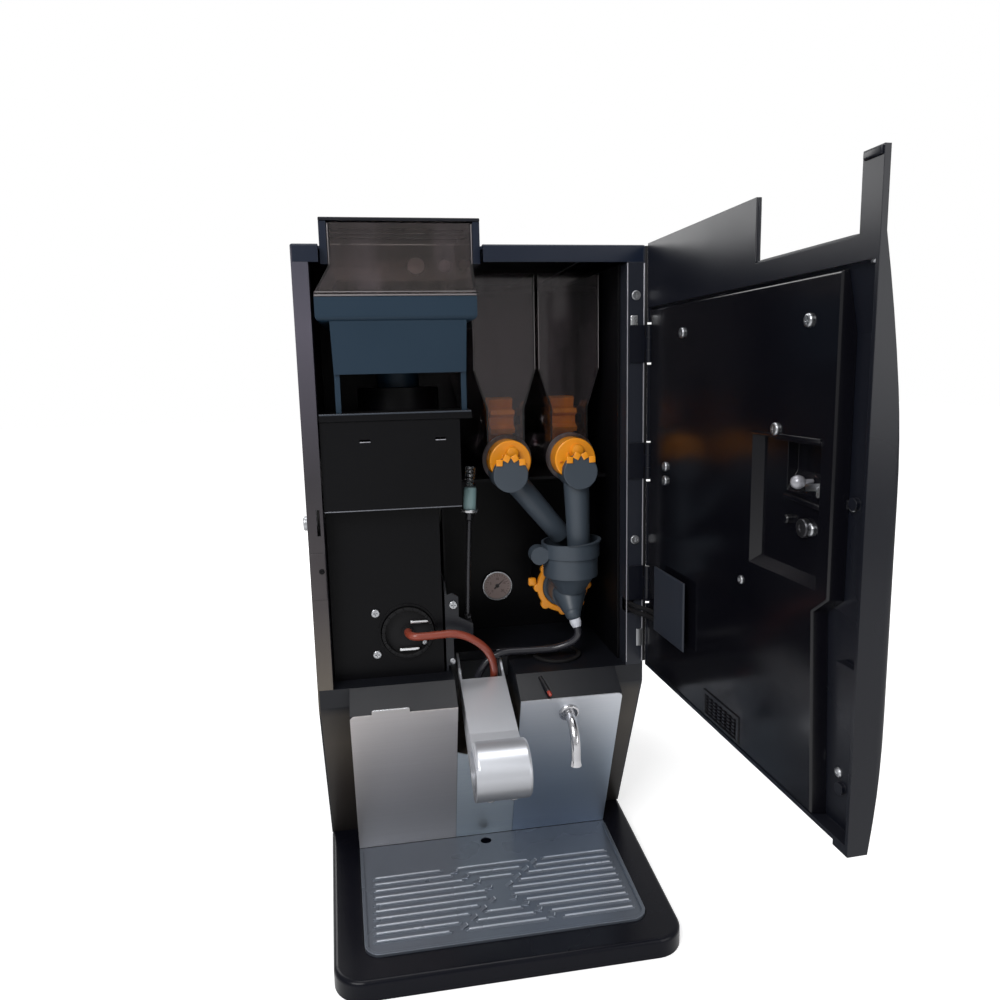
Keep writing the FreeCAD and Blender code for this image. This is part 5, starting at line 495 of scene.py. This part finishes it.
# %% Finishes: clear smoky plastic
def clear_plastic(name, colour, haze, rough=0.06):
    """Tinted clear plastic, with a powder haze on it in upright streaks."""
    finish = bpy.data.materials.new(name)
    finish.use_nodes = True
    shader = finish.node_tree.nodes["Principled BSDF"]
    shader.inputs["Transmission Weight"].default_value = 1.0
    shader.inputs["IOR"].default_value = 1.42
    shader.inputs["Base Color"].default_value = colour + (1.0,)
    place = node(finish, "TexCoord").outputs["Object"]
    tall = node(finish, "Mapping", Vector=place, Scale=(38.0, 38.0, 5.0))
    streak = node(finish, "TexNoise", Vector=tall.outputs[0], Scale=1.0, Detail=5.0, Roughness=0.6)
    film = node(finish, "MapRange", Value=streak.outputs["Fac"], From_Min=0.46, From_Max=0.66,
                To_Min=0.0, To_Max=haze)
    powder = node(finish, "BsdfDiffuse", Color=(0.13, 0.11, 0.12, 1.0))
    smooth = node(finish, "MapRange", Value=streak.outputs["Fac"], To_Min=rough * 0.5, To_Max=rough * 2.0)
    link(finish, smooth.outputs[0], "Roughness")
    mixed = node(finish, "MixShader", I0=film.outputs[0], I1=shader.outputs[0], I2=powder.outputs[0])
    finish.node_tree.links.new(mixed.outputs[0], finish.node_tree.nodes["Material Output"].inputs["Surface"])
    return finish


smoky_hood = clear_plastic("smoky_hood", (0.72, 0.60, 0.57), 0.20)
smoky_canister = clear_plastic("smoky_canister", (0.62, 0.55, 0.57), 0.14)
frosted = clear_plastic("frosted", (0.70, 0.72, 0.76), 0.55, rough=0.3)
water_clear = clear_plastic("water_clear", (0.85, 0.86, 0.88), 0.06, rough=0.03)
print("clear plastics:", [m.name for m in (smoky_hood, smoky_canister, frosted, water_clear)])

# %% [markdown]
# ## Which solid has which finish
# The solids whose shape is right as it is only need their slot filled. The hoses and cables
# that were drawn above get their finish here too.

# %% Finishes put on the solids
WORN_BY = {
    strip_paint: ["side_panel_left"],
    right_paint: ["side_panel_right"],
    top_paint: ["top_cover"],
    black_paint: ["back_panel", "hopper_lid", "top_lid", "door_shell", "hinge_brackets", "hinge_leaves"],
    black_shine: ["door_liner"],
    plate_slate: ["cable_cover"],
    black_bay: ["brew_cover_upper", "brew_cover_lower", "bay_liner", "brew_group", "grinder", "grinder_burr",
                "mixer_motor", "dosing_motors", "pump"],
    bracket_paint: ["arm_bracket"],
    base_plastic: ["base_housing"],
    ledge_slate: ["recess_housing"],
    rubber_black: ["foot_pads", "brew_fitting", "door_cables"],
    tray_grey: ["drip_plate"],
    splash_steel: ["splash_left"],
    centre_steel: ["splash_centre"],
    right_steel: ["splash_right"],
    spout_steel: ["hot_water_spout"],
    smoky_hood: ["hopper_window"],
    slate_plastic: ["hopper_bin"],
    smoky_canister: ["canister_left", "canister_right"],
    orange_plastic: ["outlet_cap_left", "outlet_cap_right", "mixer_lock_ring", "mix_wheel_left", "mix_wheel_right"],
    mixer_grey: ["powder_chutes", "mixer_lid", "mixer_bowl"],
    white_plastic: ["mixer_nozzle", "whipper_wheel"],
    pressed_steel: ["boiler", "auger_left", "auger_right", "panel_screws", "door_screws", "lock_barrel",
                    "brew_piston", "gauge_body"],
    silver_paint: ["outlet_arm"],
    teal_plastic: ["relief_pipe"],
    board_green: ["power_board"],
    plain_brass: ["rear_inlets"],
    needle_paint: ["gauge_needle"],
    hose_rust: ["brew_hose"],
    hose_smoke: ["mixer_hose"],
}
for finish, names in WORN_BY.items():
    for name in names:
        for slot in solids[name].material_slots:
            slot.material = finish
brew_hose.data.materials.append(hose_rust)
mixer_hose.data.materials.append(hose_smoke)
for cable in cables:
    cable.data.materials.append(rubber_black)
bare = sorted(set(solids) - {n for names in WORN_BY.values() for n in names})
print("solids with no finish:", bare)

# %% [markdown]
# ## Two ways to start a piece
# Small fittings are either turned or boxed. A turned piece starts as a circle that is drawn up
# along its axis and widened or narrowed at each step, as on a lathe. A boxed piece is a cube set
# to its size whose sharp edges are bevelled in edit mode, as a moulding or a pressed part has.
# What belongs to the door is drawn on the closed door and then swung open.

# %% Starting a piece: turned
FORWARD, BACK, UPWARD = (0, -1, 0), (0, 1, 0), (0, 0, 1)
SMOOTH_BELOW = math.radians(35)


def dressed(piece, name, finish, body):
    """Applies a piece's place and turn, smooths it, and gives it a finish and a body to ride on."""
    settle(piece, name)
    bpy.ops.object.shade_smooth_by_angle(angle=SMOOTH_BELOW)
    piece.data.materials.append(finish)
    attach(piece, body)
    return piece


def turned(name, at, along, steps, finish, sides=40, body="cabinet"):
    """A round piece from steps of (radius, height) in millimetres along its axis.

    A ring's last step is its first again, so it needs no end face.
    """
    nothing()
    radius, height = steps[0]
    bpy.ops.mesh.primitive_circle_add(vertices=sides, radius=radius * MM, fill_type="NOTHING",
                                      location=(0.0, 0.0, height * MM))
    piece = settle(bpy.context.active_object, name)
    bpy.ops.object.mode_set(mode="EDIT")
    bpy.ops.mesh.select_all(action="SELECT")
    if steps[0] != steps[-1]:
        bpy.ops.mesh.edge_face_add()
    for wider, higher in steps[1:]:
        bpy.ops.mesh.extrude_region_move(TRANSFORM_OT_translate={"value": (0.0, 0.0, (higher - height) * MM)})
        bpy.ops.transform.resize(value=(wider / radius, wider / radius, 1.0), center_override=(0.0, 0.0, 0.0))
        radius, height = wider, higher
    bpy.ops.mesh.select_all(action="SELECT")
    bpy.ops.mesh.remove_doubles(threshold=1e-7)
    bpy.ops.mesh.normals_make_consistent(inside=False)
    only(piece)
    piece.rotation_euler = Vector(along).to_track_quat("Z", "Y").to_euler()
    piece.location = Vector(at) * MM
    return dressed(piece, name, finish, body)


# %% Starting a piece: boxed
def boxed(name, x, y, z, round_mm, finish, body="cabinet", turn=0.0, spin=UPWARD):
    """A block with rounded edges from pairs of sides in millimetres, turned about its own middle."""
    nothing()
    size = Vector((x[1] - x[0], y[1] - y[0], z[1] - z[0])) * MM
    heart = Vector((x[0] + x[1], y[0] + y[1], z[0] + z[1])) * MM / 2
    bpy.ops.mesh.primitive_cube_add(size=1.0, scale=size)
    piece = settle(bpy.context.active_object, name)
    bpy.ops.object.mode_set(mode="EDIT")
    bpy.ops.mesh.select_all(action="SELECT")
    bpy.ops.mesh.bevel(offset=round_mm * MM, segments=3, profile=0.5)
    bpy.ops.mesh.normals_make_consistent(inside=False)
    only(piece)
    piece.rotation_mode = "QUATERNION"
    piece.rotation_quaternion = Matrix.Rotation(math.radians(turn), 4, Vector(spin)).to_quaternion()
    piece.location = heart
    return dressed(piece, name, finish, body)


def on_circle(x, z, radius, degrees):
    """A place on an upright circle seen from the front, in millimetres."""
    a = math.radians(degrees)
    return x + radius * math.cos(a), z + radius * math.sin(a)


# %% Starting a piece: on the open door
HINGE = Vector((0.168, -0.005, 0.0))
DOOR_OPEN = math.radians(92)
DOOR_TURN = Matrix.Translation(HINGE) @ Matrix.Rotation(DOOR_OPEN, 4, "Z") @ Matrix.Translation(-HINGE)


def on_door(piece):
    """Swings a piece that was made on the closed door to where the door stands open."""
    only(piece)
    piece.data.transform(DOOR_TURN)
    return piece


# %% [markdown]
# ## Pressure gauge
# The gauge has a printed face behind its bezel. On the real machine it is a round card with a
# scale that an arc of short strokes marks. One stroke is modelled and then copied round the
# arc, and the plain numbers are drawn as text and turned into a mesh.

# %% Pressure gauge: face and strokes
GAUGE = (38.0, 268.0)
FACE_Y = 148.2
FIRST_STROKE, SWEEP = 225.0, 270.0
STROKE_END, NUMBERS_AT = 14.3, 8.6
turned("gauge_face", (GAUGE[0], FACE_Y, GAUGE[1]), FORWARD,
       [(15.9, 0.0), (15.9, 0.35), (15.2, 0.5), (2.6, 0.5), (2.6, 0.0), (15.9, 0.0)], gauge_paper, 64)
strokes = []
for count in range(21):
    turn_deg = FIRST_STROKE - SWEEP * count / 20
    reach = 3.4 if count % 5 == 0 else 2.0
    x, z = on_circle(*GAUGE, STROKE_END - reach / 2, turn_deg)
    strokes.append(boxed(f"gauge_stroke_{count}", (x - reach / 2, x + reach / 2), (FACE_Y - 0.75, FACE_Y - 0.5),
                         (z - 0.22, z + 0.22), 0.05, needle_paint, turn=-turn_deg, spin=BACK))
print("gauge strokes", len(strokes))

# %% Pressure gauge: numbers
for count in range(5):
    x, z = on_circle(*GAUGE, NUMBERS_AT, FIRST_STROKE - SWEEP * count / 4)
    nothing()
    bpy.ops.object.text_add(location=(x * MM, (FACE_Y - 0.55) * MM, (z - 1.4) * MM),
                            rotation=(math.radians(90), 0.0, 0.0))
    word = bpy.context.active_object
    word.data.body, word.data.size, word.data.align_x = str(count * 5), 4.0 * MM, "CENTER"
    word.data.extrude = 0.06 * MM
    bpy.ops.object.convert(target="MESH")
    word = settle(bpy.context.active_object, f"gauge_number_{count}")
    word.data.materials.append(needle_paint)
    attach(word, "cabinet")
print("gauge numbers placed")

# %% [markdown]
# ## Relief pipe
# A thin dark pipe leans up beside the brewer to a bright flange and a grey-green cap with a
# clear ribbed sleeve on top. Each is its own material on the real machine, so each is turned as
# its own piece along the pipe's slope.

# %% Relief pipe: nut, pipe, flange, cap and sleeve
foot, head = Vector((-11.9, 40.0, 265.0)), Vector((-6.2, 40.0, 378.0))
slope = (head - foot).normalized()
pipe_nut = turned("pipe_nut", foot, UPWARD,
                  [(4.4, 0.0), (4.4, 0.8), (4.5, 1.0), (4.5, 5.0), (4.0, 6.0), (2.7, 6.0)], dark_metal, 6)
pipe = turned("relief_tube", foot + slope, slope,
              [(2.5, 0.0), (2.5, 103.0), (4.1, 104.5), (4.1, 112.0)], dark_metal, 24)
pipe_flange = turned("pipe_flange", head, slope,
                     [(4.0, 0.0), (8.6, 0.0), (9.0, 0.4), (9.0, 2.6), (8.6, 3.0), (4.0, 3.0)], bright_metal, 48)
pipe_cap = turned("pipe_cap", head, slope,
                  [(6.2, 3.0), (6.5, 4.0), (6.4, 23.0), (6.2, 24.6), (5.4, 25.6), (3.0, 26.0)], teal_plastic, 40)
sleeve_steps = [(4.6, 0.0)]
for ring in range(5):
    sleeve_steps += [(4.6, ring * 4 + 1.0), (5.4, ring * 4 + 2.0), (5.4, ring * 4 + 3.0), (4.6, ring * 4 + 4.0)]
sleeve_steps += [(3.6, 20.2), (3.6, 1.0), (0.1, 1.0)]
clear_sleeve = turned("pipe_sleeve", head + slope * 26.0, slope, sleeve_steps, water_clear, 32)
for part in (pipe_nut, pipe, pipe_flange, pipe_cap, clear_sleeve):
    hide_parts("relief_pipe")
print("relief pipe sleeve steps", len(sleeve_steps))

# %% [markdown]
# ## Powder outlets
# Each canister ends in a round clear seal that the orange cap turns against. It shows as a pale
# grey ring round the cap. The cap itself has a raised crescent with a milled edge.

# %% Powder outlets: the clear seals and the caps' crescents
CAPS = {"left": 37.0, "right": 105.0}
CHUTE_SHIFT = {"left": -2.6, "right": 1.4}
CAP_Z, CRESCENT = 428.0, 15.2
CHUTE_Z, CHUTE_RIM = 416.0, 17.4
for side, x in CAPS.items():
    cap_body = f"outlet_cap_{side}_body"
    turned(f"outlet_seal_{side}", (x, 61.6, CAP_Z), FORWARD,
           [(21.9, 0.0), (25.4, 0.0), (26.0, 0.6), (26.0, 3.6), (25.2, 4.4), (22.4, 4.4), (21.9, 3.8), (21.9, 0.0)],
           frosted, 64)
    # The milled ribs on the cap's lower half take the darker orange: painted shade.
    for tooth in range(9):
        degrees = 190 + tooth * 20
        px, pz = on_circle(x, CAP_Z, CRESCENT, degrees)
        boxed(f"cap_rib_{side}_{tooth}", (px - 1.7, px + 1.7), (36.6, 38.2), (pz - 0.7, pz + 0.7), 0.3,
              orange_shade_plastic, cap_body, turn=-degrees, spin=BACK)

    # A scalloped tongue of the cap hangs over the top of the chute's round head.
    for tooth in range(4):
        degrees = 48 + tooth * 28
        px, pz = on_circle(x + CHUTE_SHIFT[side], CHUTE_Z, CHUTE_RIM, degrees)
        boxed(f"cap_tooth_{side}_{tooth}", (px - 3.3, px + 3.3), (20.4, 21.8), (pz - 3.3, pz + 3.3), 0.5,
              orange_plastic, cap_body, turn=45 - degrees, spin=BACK)
    turned(f"cap_button_{side}", (x + 1.5, 38.2, 437.0), FORWARD,
           [(6.4, 0.0), (6.4, 5.0), (5.6, 6.6), (3.0, 7.4), (0.1, 7.6)], orange_plastic, 36, cap_body)
print("powder outlets dressed", list(CAPS))

# %% [markdown]
# ## Mixer's lock ring
# The orange ring that locks the mixer to its motor is a thin moulded hoop with round lugs for
# the fingers and a short lever. The hoop is turned, and one lug is repeated round it. A grey
# collar of the mixer shows inside it.

# %% Mixer's lock ring
RING = (102.0, 91.0, 280.0)
RING_BODY, LUGS_AT = "mixer_lock_ring_body", 28.0
hoop_steps = [(18.6, 0.0), (28.4, 0.0), (29.0, 0.6), (29.0, 6.2), (28.4, 6.9), (23.4, 6.9), (22.8, 6.3),
              (22.8, 1.2), (18.6, 1.2), (18.6, 0.0)]
lug_steps = [(4.6, 0.0), (5.0, 0.4), (5.0, 6.2), (4.2, 6.9), (0.1, 7.0)]
hoop = [turned("lock_hoop", RING, FORWARD, hoop_steps, orange_plastic, 72, RING_BODY)]
for lug in range(8):
    px, pz = on_circle(RING[0], RING[2], LUGS_AT, lug * 45)
    hoop.append(turned(f"lock_lug_{lug}", (px, RING[1], pz), FORWARD, lug_steps, orange_plastic, 28, RING_BODY))
hoop.append(boxed("lock_lever", (63.4, 72.0), (84.2, 90.8), (282.4, 291.4), 1.8, orange_plastic, RING_BODY))
for piece in hoop:
    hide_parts("mixer_lock_ring")
collar_steps = [(18.55, 0.0), (22.4, 0.0), (22.4, 4.0), (21.8, 4.6), (18.55, 4.6), (18.55, 0.0)]
turned("mixer_collar", (RING[0], 89.4, RING[2]), FORWARD, collar_steps, mixer_grey, 64)
print("lock ring pieces", len(hoop))

# %% [markdown]
# ## Hopper
# Behind the clear hood two white caps of the lid's catches show, and the hood's front corners
# and its foot catch the light in thin lines, as the canisters' corners do. The caps are turned,
# and the lines of light are painted highlights: slim pale beads.

# %% Hopper: caps and painted highlight beads
for count, (x, wide) in enumerate(((-44.0, 9.5), (-13.0, 7.0))):
    turned(f"hood_cap_{count}", (x, 146.0, 634.0), (0, -1, 0.2),
           [(wide, 0.0), (wide, 2.0), (wide * 0.8, 3.4), (0.4, 3.8)], clean_white, 36)
# The beads below are painted highlights on the hood's front corners, its foot and seam, and the canisters' corners.
for side, x in (("left", -132.2), ("right", -0.2)):
    boxed(f"hood_highlight_{side}", (x - 0.5, x + 0.5), (15.0, 15.9), (619, 655), 0.25, highlight_glass)
boxed("hood_foot_highlight", (-146.6, 1.6), (2.1, 2.9), (589.4, 590.8), 0.3, highlight_glass)
boxed("hood_seam_highlight", (-146.2, 1.2), (2.3, 3.0), (592.6, 593.4), 0.2, highlight_glass)
for side, x0, x1 in (("left", 5.2, 68.8), ("right", 73.2, 136.8)):
    for end, x in (("a", x0), ("b", x1)):
        boxed(f"canister_highlight_{side}_{end}", (x - 0.4, x + 0.4), (61.0, 61.9), (520, 614), 0.2, highlight_glass)
print("hopper caps and beads placed")

# %% [markdown]
# ## Cabinet fittings
# A rubber seal closes the gap on the hinge side. The left strip carries a small cover plate with
# a pin, the right strip two latch plates, and screws hold the brewer's cover and the bracket. The
# pieces are pressed or moulded, so their edges are rounded by a few tenths of a millimetre.

# %% Cabinet fittings: a screw head
HEAD_SHAPE = [(1.0, 0.0), (1.0, 0.2), (0.8, 0.42), (0.4, 0.5), (0.38, 0.3)]


def screw(name, at, along, radius, body="cabinet", finish=pressed_steel):
    """A pan head with a round recess."""
    steps = [(radius * r, radius * h) for r, h in HEAD_SHAPE] + [(0.01, radius * 0.25)]
    return turned(name, at, along, steps, finish, 24, body)


# %% Cabinet fittings
boxed("hinge_seal", (165.05, 167.8), (0.1, 1.1), (219, 634), 0.3, rubber_black)
# The thin bright beads below are painted highlights: along the right strip's two edges, the upper cover's lower edge,
# the shelf's lit top edge and the slots' lower edges.
boxed("strip_highlight_inner", (147.2, 148.2), (-0.35, 0.3), (219, 618), 0.2, silver_and_highlight)
boxed("strip_highlight_outer", (163.6, 164.8), (-0.35, 0.3), (219, 618), 0.2, silver_and_highlight)
boxed("cover_highlight", (-148.6, -17.9), (3.5, 4.2), (390.2, 391.2), 0.2, highlight_grey)
boxed("shelf_highlight", (-148.6, -6.4), (1.6, 2.4), (481.6, 483.0), 0.3, highlight_slate)
for count, x in enumerate((-107.6, -36.3)):
    boxed(f"slot_highlight_{count}", (x - 5.0, x + 5.0), (3.7, 4.5), (455.3, 456.2), 0.2, silver_and_highlight)
boxed("strip_cover", (-164.5, -150.5), (-0.7, 0.0), (307.3, 352.7), 0.25, strip_paint)
screw("strip_pin", (-154.0, -0.6, 335.0), FORWARD, 2.6, finish=black_bay)
boxed("latch_plate_upper", (150.6, 157.4), (-1.0, 0.0), (556, 569), 0.35, bright_metal)
boxed("latch_plate_lower", (149.6, 155.0), (-1.0, 0.0), (531, 542), 0.35, pressed_steel)
screw("strip_screw_low", (155.5, 0.0, 302.7), FORWARD, 3.2)
screw("cover_screw_low", (-57.8, 22.0, 249.7), FORWARD, 2.8)
screw("ear_screw", (-30.0, 24.0, 226.5), FORWARD, 3.2)
boxed("stay_plate", (158.0, 164.6), (-1.0, 0.0), (236, 254), 0.3, pressed_steel)
turned("floor_ring", (84.0, 45.0, 216.0), UPWARD,
       [(22.0, 0.1), (26.0, 0.1), (26.6, 0.6), (26.6, 2.4), (26.0, 3.0), (22.6, 3.0), (22.0, 2.4), (22.0, 0.1)],
       rubber_black, 64)
print("cabinet fittings placed")

# %% [markdown]
# ## Brew outlet
# The round black boss behind the red hose has two bright bars and a ribbed grip. The ribs are
# one small bar copied round the rim.

# %% Brew outlet
BOSS, BOSS_RIM = (-74.5, 262.0), 24.4
for count in range(18):
    px, pz = on_circle(*BOSS, BOSS_RIM, count * 20)
    boxed(f"boss_rib_{count}", (px - 1.6, px + 1.6), (16.6, 18.4), (pz - 0.9, pz + 0.9), 0.4, rubber_black,
          turn=-count * 20, spin=BACK)
boxed("boss_bar_upper", (BOSS[0] + 3, BOSS[0] + 23), (21.2, 22.2), (270.2, 273.0), 0.4, bright_metal)
boxed("boss_bar_lower", (BOSS[0] - 9, BOSS[0] + 11), (21.2, 22.2), (242.2, 245.0), 0.4, bright_metal)
print("boss dressed")

# %% [markdown]
# ## Drip tray
# The tray is pressed from painted sheet. Its ribs stop at a cross of short raised tabs. Along
# each rib's crest lies a painted highlight, a slim rounded bar laid on the rib, and each tab has a
# painted highlight bead along its high end.

# %% Drip tray: painted highlights on the crests and the cross
CROSS_Y, CROSS_REACH, CROSS_GAP = -59.0, 44.0, 9.0
FIRST_RIB, RIB_PITCH, RIB_END = -14.0, 10.0, 119.0
TAB_LEAN, TAB_HIGH_END = 20, 4.1
crests = 0
for row in range(10):
    y = FIRST_RIB - row * RIB_PITCH
    arm = abs(y - CROSS_Y)
    spans = [(-RIB_END, -arm - CROSS_GAP), (arm + CROSS_GAP, RIB_END)]
    if arm > 24.0:  # far from the cross's middle, a third piece lies between its arms
        spans.append((CROSS_GAP - arm, arm - CROSS_GAP))
    for count, span in enumerate(spans):
        boxed(f"rib_highlight_bar_{row}_{count}", span, (y - 1.0, y + 1.0), (19.2, 19.75), 0.25, highlight_silver, "drip_plate_body")
        crests += 1
for side in (-1, 1):
    for end in (-1, 1):
        for tab in range(4):
            out = CROSS_REACH * (tab + 1) / 4.3
            a = math.radians(TAB_LEAN * side * end)
            px, py = side * out + TAB_HIGH_END * math.cos(a), CROSS_Y + end * out + TAB_HIGH_END * math.sin(a)
            boxed(f"tab_bead_{side + 1}_{end + 1}_{tab}", (px - 0.4, px + 0.4), (py - 1.9, py + 1.9), (20.0, 20.6), 0.2,
                  highlight_silver, "drip_plate_body", turn=TAB_LEAN * side * end)
print("tray crests", crests)

# %% [markdown]
# ## Warning rod on the splash box
# A slim dark rod with a red tip lies on the right box, and the left plate has a pull tab whose top
# edge shines, drawn as a bright bead that is a painted highlight. The rod and its tip are two pieces,
# because they are two materials.

# %% Warning rod
TIP = 6
rod_foot, rod_end = Vector((55.0, -4.0, 212.5)), Vector((61.0, -27.0, 201.5))
rod_way = (rod_end - rod_foot).normalized()
rod_long = (rod_end - rod_foot).length
turned("clear_rod", rod_foot, rod_way,
       [(1.6, 0.0), (2.2, 0.6), (2.2, rod_long - TIP), (1.7, rod_long - TIP + 0.4)], dark_metal, 20)
# The bright bead on the pull tab's top edge is a painted highlight.
boxed("tab_highlight", (-113.0, -79.0), (-29.4, -28.4), (202.6, 203.8), 0.3, bright_metal)
turned("red_tip", rod_foot + rod_way * (rod_long - TIP), rod_way,
       [(1.7, 0.0), (1.9, 0.5), (1.9, 5.0), (1.2, 6.0), (0.2, 6.2)], red_plastic, 20)
print("rod length", round(rod_long, 1), "mm")

# %% [markdown]
# ## Inside of the door
# The pocket in the door holds a small locking lever: a pale ball on a flat arm with a bright
# end, and a turning knob below it. A slanted lip closes the foot of the pocket, slats fill the
# vent, and a rolled edge runs round the top. They are made on the closed door, where they are
# easy to place, and swung open with it.

# %% Inside of the door: lever, knob and lip
on_door(turned("lever_ball", (-97.0, -12.0, 442.0), BACK,
               [(1.6, 0.0), (1.6, 6.0), (3.6, 7.5), (4.6, 10.0), (4.6, 12.0), (3.4, 14.4), (1.2, 15.6), (0.1, 15.8)],
               silver_and_highlight, 28, "door"))
on_door(boxed("lever_arm", (-113.0, -95.0), (-9.6, -7.6), (436.5, 441.5), 0.5, pressed_steel, "door",
              turn=8.0, spin=BACK))
on_door(boxed("lever_end", (-117.0, -110.5), (-9.0, -5.4), (433.5, 441.0), 0.8, bright_metal, "door"))
on_door(turned("turn_knob", (-98.0, -8.1, 411.0), BACK,
               [(6.4, 0.0), (6.4, 3.4), (5.8, 4.2), (2.4, 4.4), (2.4, 3.6), (0.2, 3.5)], dark_metal, 36, "door"))
on_door(turned("recess_bump", (-79.0, -8.1, 414.0), BACK,
               [(3.2, 0.0), (3.2, 3.6), (2.4, 4.6), (0.2, 4.8)], black_shine, 24, "door"))
on_door(boxed("pocket_lip", (-118.0, -72.0), (-8.2, -5.6), (426.5, 430.0), 0.8, black_shine, "door",
              turn=-4.0, spin=BACK))
on_door(boxed("recess_brow", (-119.6, -36.4), (-2.2, -0.6), (469.2, 472.2), 0.6, black_shine, "door"))
print("lever and knob placed")

# %% Inside of the door: slats, plug, rolled edge and studs
LOWEST_SLAT, SLAT_PITCH = 228.0, 2.9
for slat in range(6):
    z = LOWEST_SLAT + slat * SLAT_PITCH
    on_door(boxed(f"vent_slat_{slat}", (-24.4, 28.4), (-3.4, -1.4), (z, z + 1.0), 0.3, black_shine, "door",
                  turn=24.0, spin=(1, 0, 0)))
on_door(boxed("post_lip", (-164.0, -148.0), (-3.6, -0.6), (629.5, 634.6), 1.2, black_paint, "door"))
on_door(boxed("cable_plug", (132.0, 143.0), (-3.4, -0.8), (270, 287), 0.8, black_bay, "door"))
rolled = [(166.0, 634.4), (60.0, 634.4), (-26.0, 634.4), (-31.4, 634.0), (-31.6, 628.0), (-31.6, 600.0),
          (-32.0, 590.6), (-41.0, 590.4), (-90.0, 590.4), (-138.0, 590.4), (-146.6, 590.6), (-147.0, 600.0),
          (-147.0, 634.4)]
rolled_edge = on_door(tube_along("rolled_edge", [Vector((x, -4.6, z)) * MM for x, z in rolled], 1.5 * MM))
rolled_edge.data.materials.append(black_paint)
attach(rolled_edge, "door")
DOOR_SCREWS = [(-25.0, -2.0, 357.0), (-140.0, -12.0, 432.0), (-139.0, -12.0, 257.0), (-156.0, -6.0, 577.0)]
for count, spot in enumerate(DOOR_SCREWS):
    on_door(screw(f"door_stud_{count}", spot, BACK, 3.4, "door"))
print("door fittings placed")
